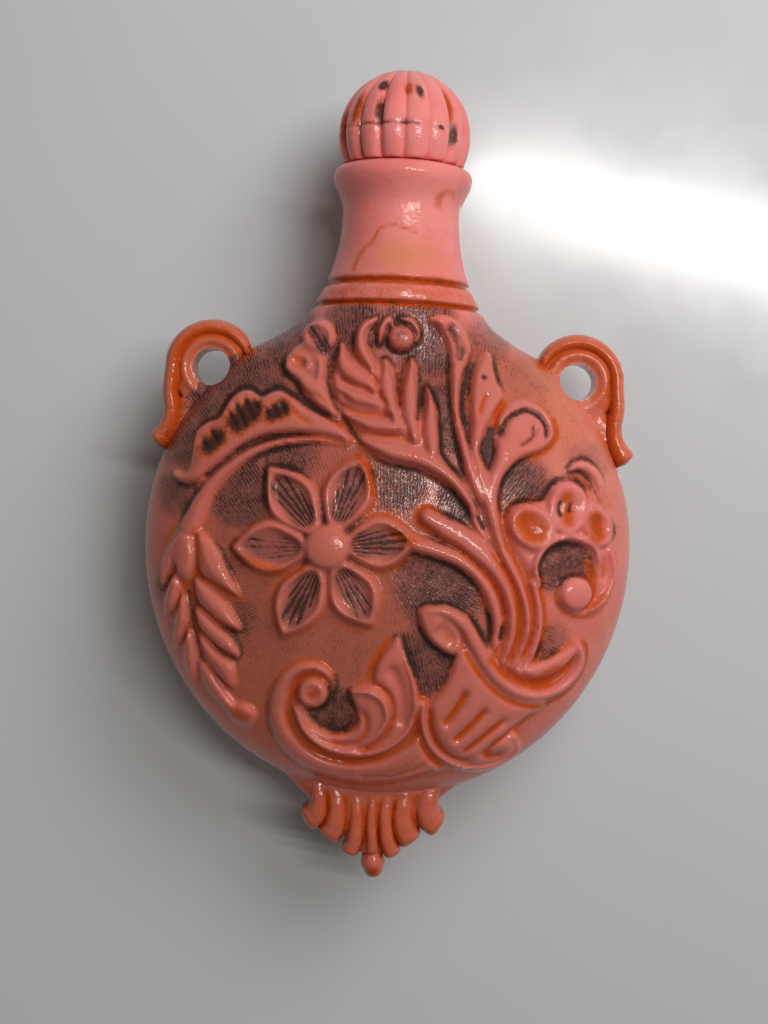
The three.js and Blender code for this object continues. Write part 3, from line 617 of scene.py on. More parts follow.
groove([(19.8, 0.2), (19.95, -1.2), (19.8, -2.4)], 0.8, 0.3, 0.0, 0.6)
knob(17.2, -3.4, 1.75, 1.7, rise=1.3, dome=0.55)
groove([(18.6, -1.9), (19.05, -3), (18.8, -4.3), (17.8, -5.1)], 0.4, 0.5, 0.05, 1.0)
smudge([(18.4, -0.7), (18.9, -1.8)], 1.1, orange=1.0)
smudge([(20, -3.4), (19, -5)], 1.0, orange=0.7)
stem([(16.1, 7.9), (17.2, 8.35), (18.4, 7.8), (19.05, 6.7), (19.2, 5.3)], [0.4, 1.2, 1.4, 1.2, 0.5],
    rise=0.95)
smudge([(16.3, 7.4), (17.6, 7), (18.3, 6.1)], 0.5, dark=0.3, orange=0.9)
print("jobs so far:", len(front_list))

# %% [markdown]
# ## The bundle of stems and the horn
# Four stems bend down together into the rolled mouth of a horn of plenty. The horn's body is
# fluted, and a band wraps its tail.

# %% Draw the bundle
stem([(3, 8), (5, 6.9), (6.5, 5.6), (7.3, 4.2), (7.9, 2.7), (8.7, 1.3)], [0.9, 1.3, 1.2, 1, 0.8, 0.6])
groove([(7.7, 3.9), (8.1, 3), (8.8, 2)], 0.5, 0.8, 1.0, 0.2)
stem([(2.4, 0.7), (4.5, 0.15), (6.5, -0.6), (8.3, -2), (9.5, -4), (10.1, -6.4), (9.9, -8.8)], [1.5, 1.5,
    1.5, 1.5, 1.4, 1.2, 0.9])
stem([(3.35, 3.2), (5, 2.3), (7.4, 0.8), (9.7, -1.4), (11.1, -4.2), (11.4, -7), (10.7, -9.8)], [1.6, 2.2,
    2.1, 1.5, 1.2, 1.1, 0.9], rise=1.05)
stem([(9.8, 1.8), (10.6, -0.4), (11.9, -2.8), (12.7, -5.4), (12.7, -7.8), (11.7, -10.2)], [1.1, 1.2, 1.1,
    1.1, 1, 0.8])
stem([(13.1, -2.4), (13.75, -4.8), (13.8, -7.2), (13.2, -9.4), (12.3, -10.8)], [0.9, 1.0, 1.0, 0.8, 0.6])
groove([(3.8, 1.5), (6, 0.6), (8, -1), (9.5, -2.6), (10.3, -4.2), (10.7, -5.7)], 0.4, 0.5, 0.0, 1.0)
groove([(10.65, -6), (10.5, -7.2), (10.3, -8)], 0.6, 0.7, 1.0, 0.1)
groove([(10.2, -8.2), (10, -9.2)], 0.4, 0.4, 0.1, 1.0)
groove([(9.2, 0.5), (10.4, -1.1), (11.5, -3), (12.1, -5), (12.2, -7), (11.3, -10)], 0.45, 0.5, 0.0, 1.0)
groove([(10.7, 1), (12, -1.4), (12.9, -3.1), (13.3, -5), (13.3, -7), (12.5, -9.6)], 0.45, 0.5, 0.0, 1.0)
smudge([(14.2, -3.6), (14.5, -6), (14.2, -8.6)], 0.7, orange=0.8)
smudge([(9.6, 0.2), (12, -5), (11.6, -9.5)], 1.8, orange=0.45)

# %% Draw the horn
leaf(
    [(6.4, -9.2), (5.9, -11), (5.3, -12.4), (4.5, -13.6), (4.1, -14.6), (4.2, -16), (4.9, -17.6),
     (5.9, -18.8), (7.2, -19.6), (9, -19.9), (10.8, -19.7), (12.2, -19), (12.8, -18), (12.5, -17),
     (12.3, -16.2), (13.5, -15.1), (15.2, -13.8), (13.9, -13), (12.2, -12.6), (10.4, -11.4), (8.9, -9.7),
     (7.6, -8.2), (7, -8)],
    rise=0.8, swell=0.2,
)
leaf([(2.85, -5.1), (3, -6.2), (3.7, -7.6), (4.8, -8.6), (6.2, -9.25), (6.9, -8.9), (7.1, -7.9),
    (6.6, -6.6), (5.4, -5.2), (4, -4.5)], rise=0.95)
groove([(4.6, -6.4), (5.5, -7.3), (6.5, -8.3)], 1.7, 0.5, 0.1, 0.35)
stem(
    [(3.7, -5.1), (5.3, -5.2), (7, -6.3), (8.1, -8), (9.2, -9.8), (10.6, -11.5), (12.4, -12.6),
     (14.3, -12.9), (16.1, -12.3), (17.4, -11.1), (18, -9.7), (17.75, -8.3)],
    [1.1, 1.5, 1.7, 1.7, 1.7, 1.6, 1.5, 1.4, 1.3, 1.3, 1.3, 1.1], rise=1.25, crown=0.35,
)
stem([(3.7, -13.8), (3.8, -15.8), (4.6, -17.8), (6, -19.2), (7.8, -20.05), (9.8, -20.15), (11.7, -19.5),
    (12.75, -18.3), (12.3, -16.9)], [1, 1, 0.9, 0.9, 0.9, 0.9], rise=1.1)
stem([(12.3, -10.5), (14.3, -10.5), (16.2, -9.6), (17.5, -8.4)], [0.9, 1.9, 1.9, 1.0], rise=0.85,
    crown=0.3)
for line, width, depth, dark, orange in [
    ([(7.6, -12.2), (7.2, -13.4), (6.4, -14.8), (5.6, -15.9)], 0.8, 0.5, 0.05, 1.0),
    ([(9.6, -13.95), (8.6, -15.3), (7.6, -16.4), (6.5, -17.4)], 0.7, 0.5, 0.05, 1.0),
    ([(11.5, -14.95), (10.4, -15.9), (9, -17.2), (7.4, -18.6)], 0.6, 0.45, 0.05, 1.0),
    ([(14, -14.6), (12.3, -16), (10.5, -17.5), (9, -18.9)], 0.55, 0.45, 0.05, 0.95),
    ([(9.3, -18.8), (10.4, -18.7), (11.7, -18.5)], 1.0, 0.5, 0.1, 0.95),
    ([(4.4, -14), (4.6, -16), (5.5, -17.8), (7, -18.95), (8.7, -19.2)], 0.5, 0.4, 0.05, 1.0),
    ([(6.9, -8.1), (8.1, -10), (9.7, -12), (11.6, -13.3), (14, -13.9), (16.2, -13.3), (17.8, -12),
        (18.7, -10.2), (18.7, -8.5), (17.9, -7.6)], 0.5, 0.15, 0.05, 1.0),
    ([(3.2, -14.2), (3.4, -16.4), (4.4, -18.7), (6.2, -20.2)], 0.5, 0.15, 0.05, 0.9),
]:
    groove(line, width, depth, dark, orange)
groove([(11.9, -11.2), (14.2, -11.8), (16.3, -11), (17.2, -9.7)], 0.7, 0.3, 0.0, 1.0)
smudge([(14.5, -10.9), (16.3, -10.2)], 1.2, orange=0.7)
smudge([(9.6, -9.4), (11.2, -10.9), (13, -11.8)], 0.8, orange=0.9)
print("jobs so far:", len(front_list))

# %% [markdown]
# ## The double scroll
# At the lower left a band rolls round a ball, and a second band inside it grows into a leaf.

# %% Draw the scroll
leaf(
    [(-4.5, -11.4), (-5.2, -10.6), (-6.3, -10.25), (-7.6, -10.45), (-8.8, -11.2), (-9.7, -12.4),
     (-10.2, -13.8), (-10.3, -15.5), (-10, -17), (-9.3, -18.6), (-8, -20), (-6.3, -21.1), (-4.5, -21.7),
     (-2, -22), (0, -21.9), (2.5, -21.4), (4.8, -20.6), (6.4, -20.1), (5.1, -19.3), (4.2, -18),
     (3.6, -16.4), (2.9, -17.3), (1.8, -18.3), (0.5, -19.1), (-1, -19.6), (-2.6, -19.8), (-4.2, -19.6),
     (-5.4, -19.2), (-6.8, -18.2), (-7.9, -16.9), (-8.5, -15.4), (-8.5, -14.2), (-8.1, -12.6),
     (-7.2, -11.6), (-6.2, -11.3), (-5.2, -11.6), (-4.7, -12.1)],
    rise=0.75, swell=0.2,
)
leaf(
    [(-8.1, -14.4), (-7.7, -16.1), (-6.7, -17.6), (-5.3, -18.8), (-3.5, -19.4), (-1.6, -19.3),
     (0.2, -18.7), (1.7, -17.7), (2.8, -16.3), (3.35, -14.6), (3.4, -13), (3, -11.4), (2.4, -9.8),
     (1.8, -8.4), (1.4, -7.3), (0.7, -8), (-0.1, -9.2), (-0.75, -10.5), (-0.9, -11.5), (-1.4, -12.1),
     (-2.3, -12.5), (-2.9, -13.1), (-2.6, -13.9), (-2.2, -14.8), (-2.1, -15.8), (-2.6, -16.6),
     (-3.6, -17), (-4.8, -16.9), (-5.9, -16.3), (-6.6, -15.3), (-7.2, -14.6)],
    rise=0.7, swell=0.1,
)
stem([(-7.6, -15), (-6.9, -16.6), (-5.4, -18), (-3.4, -18.7), (-1, -18.7), (1, -17.8), (2.4, -16.3),
    (2.95, -14.3), (2.8, -12), (1.9, -9.4)], [0.6, 1, 1.1, 1.1, 1.1, 1.1, 1, 0.9, 0.7, 0.4], rise=1.4,
    crown=0.4)
stem([(-2.6, -12.9), (-1.2, -12.8), (0.1, -13.6), (0.5, -15.2), (-0.2, -16.8), (-1.6, -17.9)], [0.7, 1.1,
    1.1, 1, 1, 0.7], rise=1.35)
knob(-6.2, -13.2, 1.5, 1.5, rise=1.25, dome=0.45, pit=0.3)
for line, width, depth, dark, orange in [
    ([(-8.6, -14.6), (-8.2, -16.4), (-7.1, -18), (-5.4, -19.25), (-2.6, -19.8), (0.5, -19.05),
        (2.8, -17.3), (3.5, -15.6)], 0.42, 0.55, 0.1, 1.0),
    ([(-2.6, -12.2), (-1, -12), (0.5, -12.8), (1.05, -14.1), (0.95, -15.8), (0.2, -17.2), (-1, -18.2),
        (-2, -18.6)], 0.42, 0.55, 0.25, 0.9),
    ([(-4.6, -17.8), (-3.2, -17.95), (-1.9, -17.6), (-1.3, -16.6), (-1.3, -15.4), (-1.8, -14.4)], 0.36,
        0.35, 0.1, 0.9),
    ([(0.6, -10.2), (1.5, -12), (1.9, -14), (1.7, -16)], 1.2, 0.45, 0.2, 0.25),
    ([(0.9, -7.5), (-0.4, -9), (-1.15, -10.6), (-1.3, -11.8)], 0.5, 0.1, 0.1, 1.0),
    ([(-7.9, -14.4), (-8.1, -13), (-7.4, -11.9), (-6.3, -11.5), (-5.2, -11.8)], 0.5, 0.3, 0.05, 0.95),
    ([(-2, -21.2), (1.5, -20.8), (4.6, -19.5)], 0.36, 0.25, 0.05, 0.85),
    ([(-4.2, -20.6), (-1.5, -20.9), (1.8, -20.1), (4.1, -18.7)], 0.3, 0.1, 0.0, 0.5),
    ([(-3.4, -22.3), (0.5, -22.2), (3.6, -21.4), (6.2, -20.6)], 0.36, 0.2, 0.0, 0.7),
    ([(-10.3, -12.6), (-10.5, -15), (-10.1, -17.2), (-8.9, -19.4), (-7, -21), (-4.6, -22)], 0.3, 0.1, 0.5,
        0.2),
]:
    groove(line, width, depth, dark, orange)
smudge([(-6.3, -13.3), (-6, -13.2)], 1.1, orange=0.8)
smudge([(-4.1, -11.4), (-4.3, -13.4), (-5.2, -14.6)], 0.8, dark=0.6)
smudge([(-6.2, -15.4), (-4.9, -16.4), (-3.2, -16.5), (-2.6, -15.2)], 0.9, dark=0.7)
print("jobs on the front:", len(front_list))

# %% [markdown]
# ## The back
# The photograph never shows the back. Bottles of this kind carry a plainer copy of the front
# there, so we draw a flower round the flat place it lies on, four curled leaves and two short
# stems, all low.

# %% Draw the back
REST_LENGTH = 6.0
REST_WIDTH = 5.0
for turn in range(6):
    length = 12.2 if turn % 3 == 1 else 11.4
    petal((0, REST_Y), 30 + 60 * turn, length, 5.4, 0.5, 0.6, lines=0.5, into=back_list)
CURLS = [
    ([(2, -9), (6, -13.2), (11.5, -12.6), (14, -8), (12, -5)], [0.6, 2.2, 2.4, 1.6, 0.5], 0.6),
    ([(1.5, -11), (3.5, -16.5), (8, -18), (11, -16.4)], [0.6, 1.8, 1.6, 0.4], 0.6),
    ([(1, -8), (0.6, -12), (1.2, -19)], [0.6, 1.0, 0.4], 0.45),
]
for hand in (1, -1):
    for line, widths, rise in CURLS:
        mirrored = [(hand * x, y) for x, y in line]
        stem(mirrored, widths, rise=rise, crown=0.5, into=back_list)
print("jobs on the back:", len(back_list))

# %% [markdown]
# ## The skin
# The flask is an ellipsoid that flows into a round waisted neck. A table of half widths and
# depths, smoothed, gives every cross-section. The two grooves below the neck are cut by
# drawing the section in a little. The lower half is an ellipse that hangs 0.9 mm lower than a
# round disc would, because the real flask does.

# %% Give the sections of flask and neck
FLASK_RADIUS = 23.0
FLASK_DROP = 23.9
FLASK_DEPTH = 10.0
SHOULDER = np.array([
    [14, 18.25, 7.93], [16.5, 16.02, 6.97], [18, 13.8, 6.78], [19.3, 11.3, 6.7], [20.8, 9.1, 6.75], [22,
        8.15, 6.85], [22.9, 7.66, 6.9],
    [24, 7.1, 6.78], [24.9, 6.7, 6.58], [27, 6.05, 6.05], [30, 5.6, 5.6], [32.1, 5.66, 5.66], [33.2, 6.12,
        6.12], [34, 6.47, 6.47], [34.8, 6.5, 6.5],
    [35.25, 6.2, 6.2], [35.5, 5.6, 5.6], [35.6, 5.0, 5.0],
])
NECK_GROOVES = [(22.35, 0.5, 0.2), (24.4, 0.42, 0.26)]


def hermite(value, knots, levels):
    """A smooth curve through levels at knots."""
    slope = np.gradient(levels, knots)
    i = np.clip(np.searchsorted(knots, value) - 1, 0, len(knots) - 2)
    width = knots[i + 1] - knots[i]
    t = (value - knots[i]) / width
    return (
        (1 + 2 * t) * (1 - t) ** 2 * levels[i] + t * (1 - t) ** 2 * width * slope[i]
        + t * t * (3 - 2 * t) * levels[i + 1] + t * t * (t - 1) * width * slope[i + 1]
    )


def section(y):
    """Half width and half depth of the bottle's skin at y."""
    tall = np.where(y < 0, FLASK_DROP, FLASK_RADIUS)
    round_width = FLASK_RADIUS * np.sqrt(np.clip(1 - (y / tall) ** 2, 0, None))
    levels, widths, depths = SHOULDER.T
    width, depth = hermite(y, levels, widths), hermite(y, levels, depths)
    below = y <= levels[1]
    width = np.where(below, round_width, width)
    depth = np.where(below, round_width * FLASK_DEPTH / FLASK_RADIUS, depth)
    for middle, cut, spread in NECK_GROOVES:
        dip = cut * np.exp(-(((y - middle) / spread) ** 2))
        width, depth = width - dip, depth - dip
    return width, depth


# %% [markdown]
# ## Rows and columns
# One closed grid carries the relief. Its front columns are about 0.2 mm apart, because the
# finest groove is 0.3 mm wide, and its back columns are wider, because the back is plainer.
# That keeps the piece under 200,000 triangles.

# %% Space the rows and columns
FRONT_COLUMNS = 262
BACK_COLUMNS = 56


def even_angles(start, end, count):
    """Angles that step evenly along the flask's oval."""
    fine = np.linspace(start, end, 4000)
    walk = np.hypot(FLASK_RADIUS * np.sin(fine), FLASK_DEPTH * np.cos(fine))
    walk = np.concatenate([[0], np.cumsum((walk[1:] + walk[:-1]) / 2)])
    return np.interp(np.linspace(0, walk[-1], count, endpoint=False), walk, fine)


columns = np.concatenate([
    even_angles(0, math.pi, FRONT_COLUMNS),
    even_angles(math.pi, 2 * math.pi, BACK_COLUMNS),
])
BELOW = 0.5
rows = np.concatenate([
    -FLASK_DROP * np.cos(np.linspace(0.02, BELOW, 14, endpoint=False)),
    np.linspace(-FLASK_DROP * math.cos(BELOW), 22, 190, endpoint=False),
    np.linspace(22, 25, 20, endpoint=False),
    np.linspace(25, 33.4, 24, endpoint=False),
    np.array([33.4, 33.7]),
    np.array([34, 34.3, 34.6, 34.85, 35.05, 35.2, 35.32, 35.42, 35.5, 35.56, 35.6]),
])
print("grid:", len(rows), "rows by", len(columns), "columns")

# %% [markdown]
# ## Raising the relief
# Each grid point asks the carved sheet for its height and moves out by it, mostly upwards and
# partly square to the skin, as a form that is lifted out of a two-part mould must. The flat
# boss is made by moving the points that lie on it down to one level.


# %% Raise the skin
LIFT_UP = 0.55
LIFT_OUT = 0.45


def skin_points():
    """The rings of the skin from the foot to the mouth, with the relief on both faces."""
    width, depth = section(rows)
    x = width[:, None] * np.cos(columns)
    z = depth[:, None] * np.sin(columns)
    y = np.repeat(rows[:, None], len(columns), 1)
    lean = np.stack([x / width[:, None] ** 2, 0 * x, z / depth[:, None] ** 2], -1)
    lean /= np.linalg.norm(lean, axis=-1, keepdims=True)
    points = np.stack([x, y, z], -1)
    for side, jobs in ((1.0, front_list), (-1.0, back_list)):
        face = (np.sin(columns) > 0) == (side > 0)
        height = carve(x[:, face].ravel(), y[:, face].ravel(), jobs).height
        lift = LIFT_UP * np.array([0, 0, side]) + LIFT_OUT * lean[:, face]
        points[:, face] += height.reshape(len(rows), -1, 1) * lift
    oval = np.hypot(points[..., 0] / REST_WIDTH, (points[..., 1] - REST_Y) / REST_LENGTH)
    boss = (1 - ease(oval, 0.97, 1.07)) * (points[..., 2] < 0)
    points[..., 2] = points[..., 2] * (1 - boss) - REST_DEPTH * boss
    return points


# %% [markdown]
# ## From rings to a closed mesh
# The skin, the bars and the pins are all tubes of rings, with both ends drawn together in a
# point. Every square of the skin's grid is halved along its shorter diagonal, or the steep
# walls of the leaves would look jagged.


# %% Close a tube of rings
def grid_faces(count_rows, count_columns, poles):
    """Faces of a closed tube of rings, with a fan to each pole."""
    faces = []
    for r in range(count_rows - 1):
        here, above = r * count_columns, (r + 1) * count_columns
        for c in range(count_columns):
            d = (c + 1) % count_columns
            faces.append((here + c, above + c, above + d, here + d))
    last = (count_rows - 1) * count_columns
    for c in range(count_columns):
        d = (c + 1) % count_columns
        faces.append((poles[0], c, d))
        faces.append((poles[1], last + d, last + c))
    return faces


def split_quads(points, faces):
    """Halves each quad along its shorter diagonal, so that the cut follows the relief's walls."""
    a, b, c, d = np.array([face for face in faces if len(face) == 4]).T
    across = np.linalg.norm(points[a] - points[c], axis=1)
    short = across < np.linalg.norm(points[b] - points[d], axis=1)
    first = np.stack([a, b, np.where(short, c, d)], 1)
    second = np.stack([np.where(short, a, b), c, d], 1)
    halves = np.concatenate([first, second])
    return halves.tolist() + [face for face in faces if len(face) == 3]


def closed_tube(name, rings, start=None, end=None, split=False):
    """A closed object from rings of points, each end drawn together in one point."""
    rings = np.asarray(rings, float)
    count_rows, count_columns = rings.shape[:2]
    start = rings[0].mean(0) if start is None else start
    end = rings[-1].mean(0) if end is None else end
    points = np.vstack([rings.reshape(-1, 3), [start], [end]])
    total = count_rows * count_columns
    faces = grid_faces(count_rows, count_columns, (total, total + 1))
    piece = make_object(name, points, split_quads(points, faces) if split else faces)
    turn_outwards(piece)
    return piece


def turn_outwards(piece):
    """Flips a closed mesh that came out inside."""
    mesh = piece.data
    mesh.calc_loop_triangles()
    at = np.zeros(len(mesh.vertices) * 3)
    mesh.vertices.foreach_get("co", at)
    at = at.reshape(-1, 3)
    corners = np.zeros(len(mesh.loop_triangles) * 3, int)
    mesh.loop_triangles.foreach_get("vertices", corners)
    a, b, c = at[corners.reshape(-1, 3)].transpose(1, 0, 2)
    if np.einsum("ij,ij->i", a, np.cross(b, c)).sum() < 0:
        mesh.flip_normals()


# %% Build the skin
skin = closed_tube("skin", skin_points(), start=(0, -FLASK_DROP, 0), end=(0, 35.62, 0), split=True)
print("skin faces:", len(skin.data.polygons))

# %% [markdown]
# ## Joining
# Handles and foot are separate closed bars at first. A boolean union melts them into the skin,
# so that the bottle stays one moulding with no hidden faces inside. The small pieces are
# joined with each other first, because a join costs what its larger side costs.


# %% Join and cut closed pieces
def combine(target, tool, operation):
    """The target joined with, or cut by, the tool; both objects go and a new one comes."""
    step = target.modifiers.new("step", "BOOLEAN")
    step.operation = operation
    step.solver = "MANIFOLD"
    step.object = tool
    ready = target.evaluated_get(bpy.context.evaluated_depsgraph_get())
    mesh = bpy.data.meshes.new_from_object(ready)
    name = target.name
    for old in (target, tool):
        bpy.data.objects.remove(old)
    result = bpy.data.objects.new(name, mesh)
    bpy.context.scene.collection.objects.link(result)
    return result


def union(pieces):
    """One object from many closed ones, joined in pairs."""
    while len(pieces) > 1:
        pairs = [pieces[i : i + 2] for i in range(0, len(pieces), 2)]
        pieces = [combine(*pair, "UNION") if len(pair) == 2 else pair[0] for pair in pairs]
    return pieces[0]


# %% [markdown]
# ## Bars
# A bar follows a smooth line in the flask's plane, and its section is a rounded box. Its ends
# are rounded by narrowing the last rings on a quarter circle.


# %% Sweep a bar along a line
def bar(name, points, widths, depths, sides=14, box=0.72, blunt=1.0, pace=0.42):
    """A closed bar: a smaller box makes its section squarer, and a larger blunt its ends rounder."""
    line = smooth(points, pace=pace)
    step = np.gradient(line, axis=0)
    step /= np.hypot(step[:, 0], step[:, 1])[:, None]
    walked = np.concatenate([[0], np.cumsum(np.hypot(*np.diff(line, axis=0).T))])
    share = walked / walked[-1]
    half = np.interp(share, np.linspace(0, 1, len(widths)), widths) / 2
    deep = np.interp(share, np.linspace(0, 1, len(depths)), depths)
    to_end = np.minimum(walked, walked[-1] - walked)
    from_tip = np.clip(to_end / np.maximum(half * blunt, 0.1), 0, 1)
    cap = np.sqrt(np.clip(1 - (1 - from_tip) ** 2, 0.04, 1))
    turn = 2 * np.pi * (np.arange(sides) + 0.5) / sides
    v = np.sign(np.cos(turn)) * np.abs(np.cos(turn)) ** box
    w = np.sign(np.sin(turn)) * np.abs(np.sin(turn)) ** box
    rings = np.zeros((len(line), sides, 3))
    rings[..., 0] = line[:, :1] - step[:, 1:] * (half * cap)[:, None] * v
    rings[..., 1] = line[:, 1:] + step[:, :1] * (half * cap)[:, None] * v
    rings[..., 2] = (deep * cap)[:, None] * w
    return closed_tube(name, rings)


def pin(name, x, y, radius, depth, sides=40):
    """An upright round pin with softened rims."""
    turn = 2 * np.pi * np.arange(sides) / sides
    rings = []
    for size, level in [(0.9, -1), (1, -0.86), (1, 0.86), (0.9, 1)]:
        ring_x, ring_y = size * radius * np.cos(turn), size * radius * np.sin(turn)
        rings.append(np.stack([x + ring_x, y + ring_y, 0 * turn + level * depth], -1))
    return closed_tube(name, rings)


# %% [markdown]
# ## The scroll handles
# Each handle is a ring round a through hole, inside a rim that runs down the shoulder and
# ends in a small curl. The groove between ring and rim is left open down to a thin web.

# %% Make the handles
EYE_X = 17.15
EYE_Y = 16.1
EYE_HOLE = 1.75


def arc(hand, radius, start, end, count):
    """Points on a circle round a handle's eye, from one angle to another."""
    angles = np.radians(np.linspace(start, end, count))
    return [(hand * (EYE_X + radius * math.cos(t)), EYE_Y + radius * math.sin(t)) for t in angles]


def on_side(hand, points):
    """Points of the right side, or their mirror image on the left."""
    return [(hand * x, y) for x, y in points]


def handle(hand):
    """The bars and the web of one handle: hand is 1 on the right and -1 on the left."""
    down = on_side(hand, [(20.95, 13.6), (20.75, 12), (20.95, 10.6), (21.55, 9.5), (22.25, 8.6)])
    rim = arc(hand, 3.66, 162, -4, 9) + down
    rim_widths = [1.0, 1.6, 1.8, 1.8, 1.8, 1.8, 1.8, 1.8, 2.1, 2.5]
    rim_depths = [2.4, 2.5, 2.5, 2.3]
    ring = arc(hand, 2.55, 205, -150, 15)
    tail = on_side(hand, [(18.6, 14.2), (19.2, 12.4), (20, 10.6), (21.1, 8.9)])
    root = on_side(hand, [(13.0, 16.3), (14.4, 17.4)])
    return [
        pin("handle_web", hand * EYE_X, EYE_Y, 3.9, 2.0),
        bar("handle_rim", rim, rim_widths, rim_depths, sides=20, box=0.85, blunt=0.5, pace=0.32),
        bar("handle_ring", ring, [1.5, 1.7, 1.7, 1.7, 1.5], [2.35, 2.35], sides=18, box=0.85, pace=0.35),
        bar("handle_tail", tail, [2.2, 3.2, 3.2, 2.4], [1.9, 1.7], box=0.85),
        bar("handle_root", root, [3.4, 3.2], [2.2, 1.9]),
    ]


extras = handle(1) + handle(-1)
print("handle bars:", len(extras))

# %% [markdown]
# ## The foot
# Below the flask a fan of seven lobes ends in a small bud. Every lobe bends outwards at its
# tip. They are bars again. They rise out of one wide web, which is thick where it leaves the
# flask and thin at the tips.

# %% Make the foot
LOBES = [
    ([(-5.6, -20.4), (-5.6, -22.8), (-5.35, -24.3), (-5.7, -25.7), (-6.9, -26.5)], [1.5, 1.6, 1.8, 2.3,
        2.6]),
    ([(-4.3, -20.8), (-4.1, -23), (-3.75, -25.2), (-4.0, -26.9), (-4.75, -28.1)], [1.7, 1.9, 2.3, 2.6,
        2.5]),
    ([(-2.6, -20.8), (-2.1, -23.4), (-1.8, -26), (-1.95, -28), (-2.55, -29.6)], [1.6, 1.7, 1.8, 1.9,
        1.7]),
    ([(-0.5, -20.8), (-0.45, -23.4), (-0.45, -26), (-0.3, -28), (-0.2, -29.4)], [1.1, 1.2, 1.3, 1.4,
        1.3]),
    ([(1.2, -20.8), (0.9, -23.4), (0.85, -26), (1.15, -28), (1.9, -29.6)], [1.4, 1.5, 1.7, 1.8, 1.7]),
    ([(3.1, -20.8), (2.6, -23.2), (2.35, -25.3), (2.75, -27), (3.7, -28.2)], [1.8, 2.0, 2.4, 2.6, 2.5]),
    ([(5.1, -20.4), (5.0, -22.7), (4.7, -24.3), (5.1, -25.8), (6.3, -26.55)], [2.0, 2.3, 2.4, 2.6, 2.7]),
]
LOBE_DEPTHS = [1.6, 2.3, 2.6, 2.45, 1.9]
WEB = [(-0.3, -20.2), (-0.3, -23), (-0.2, -26.4), (-0.2, -29.6)]
WEB_WIDTHS = [18.4, 18.3, 15.2, 12.2, 10.4, 8, 5.2, 2.6]
WEB_DEPTHS = [2.3, 2.45, 2.4, 2.3, 2.15, 1.9, 1.5, 1.1]
BUD = [(-0.2, -28.8), (-0.15, -30.2), (0.05, -31.85)]
for line, widths in LOBES:
    lobe = bar("foot_lobe", line, widths, LOBE_DEPTHS, sides=20, box=0.7, blunt=0.5, pace=0.28)
    extras.append(lobe)
extras.append(bar("foot_web", WEB, WEB_WIDTHS, WEB_DEPTHS, sides=36, box=0.6, blunt=0.1))
bud = bar("foot_bud", BUD, [1.6, 2.4, 1.3], [1.7, 1.9, 1.0], sides=20, box=0.95, blunt=0.7, pace=0.25)
extras.append(bud)
fittings = union(extras)
bottle = combine(skin, fittings, "UNION")
print("bottle faces with handles and foot:", len(bottle.data.polygons))

# %% [markdown]
# ## The hollow
# The bottle is hollow and the neck is bored for the plug. A closed copy of the inside is cut
# away, and with it the two eyes of the handles.

# %% Cut the hollow and the eyes
INSIDE = [
    (-20.2, 2.0, 0.9), (-19, 7.4, 2.7), (-16, 12.7, 4.6), (-11, 17.2, 6.2), (-4, 20, 7.2), (3, 20.2, 7.3),
    (9, 18.3, 6.6), (14, 14.8, 5.2), (16.6, 11, 4.5), (19, 6.4, 3.9), (21.4, 3.9, 3.5), (24, 3.2, 3.2),
    (30, 3.2, 3.2), (37, 3.2, 3.2),
]
turn = 2 * np.pi * np.arange(48) / 48
rings = [np.stack([w * np.cos(turn), 0 * turn + y, d * np.sin(turn)], -1) for y, w, d in INSIDE]
inside = closed_tube("inside", rings)
eyes = [pin("eye", hand * EYE_X, EYE_Y, EYE_HOLE, 6, sides=36) for hand in (1, -1)]
bottle = combine(bottle, union([inside] + eyes), "DIFFERENCE")
bottle.name = "bottle_body"
bottle.data.name = "bottle_body"
bottle.data.calc_loop_triangles()
print("bottle triangles:", len(bottle.data.loop_triangles))

# %% [markdown]
# ## Where the stain lies
# A finisher brushes dark brown and orange stain over the bottle and wipes it off, and it stays
# in the corners. So the stain's place follows from the carved sheet: a line along the foot of
# every form. Which colour it has, and how much stayed, changes over the bottle, and round soft
# patches say so. A thin brown tint also dulls most of the front. It is partly painted shade:
# it is heavy on the left and less to the right and at the rim, where the light falls. A tan wash
# lies on the shoulder and the lower half. Values like these could be painted by hand, but
# numbers on the points keep them exact, and the material reads them by name.

# %% Say where each stain is strong
DARK_PATCHES = [
    (-14, 13, 5, 1), (-10, 14.5, 3, 1), (-10, 8, 4, 0.9), (-7, 12.5, 2.5, 1), (-6, 17, 3, 0.7),
    (-19, 4, 2.5, 0.8), (0, 19, 3, 0.9), (5, 9, 3.5, 1), (3.5, 14, 3, 0.9), (6, 16, 2.5, 0.8),
    (9.5, 16.5, 1.8, 0.8), (9, 9, 2.5, 0.9), (11, 6.5, 3, 0.9), (0.5, 7, 3, 0.8), (-5.4, 1, 4, 0.9),
    (-11, 6, 3, 0.8), (6, 4, 2.5, 0.9), (5, -2.5, 4, 1), (9, -6.5, 2, 1), (4, -9, 3.5, 1),
    (16, -0.5, 3, 1), (14.8, -8.6, 1.6, 0.7), (-4.3, -14.5, 2.6, 1), (-13.6, -9, 3, 0.75),
    (-14.6, -1.5, 2.6, 0.7), (-20.5, -4, 1.6, 0.7), (20.6, 2.5, 1.4, 0.6), (17.5, 7.6, 2.2, 0.85),
    (14, 6.8, 2.4, 1), (10.6, -5, 2, 0.5), (-17, -7, 3, 0.5), (1.5, 15, 3, 0.7), (-3.2, 18.6, 1.6, 0.7),
]
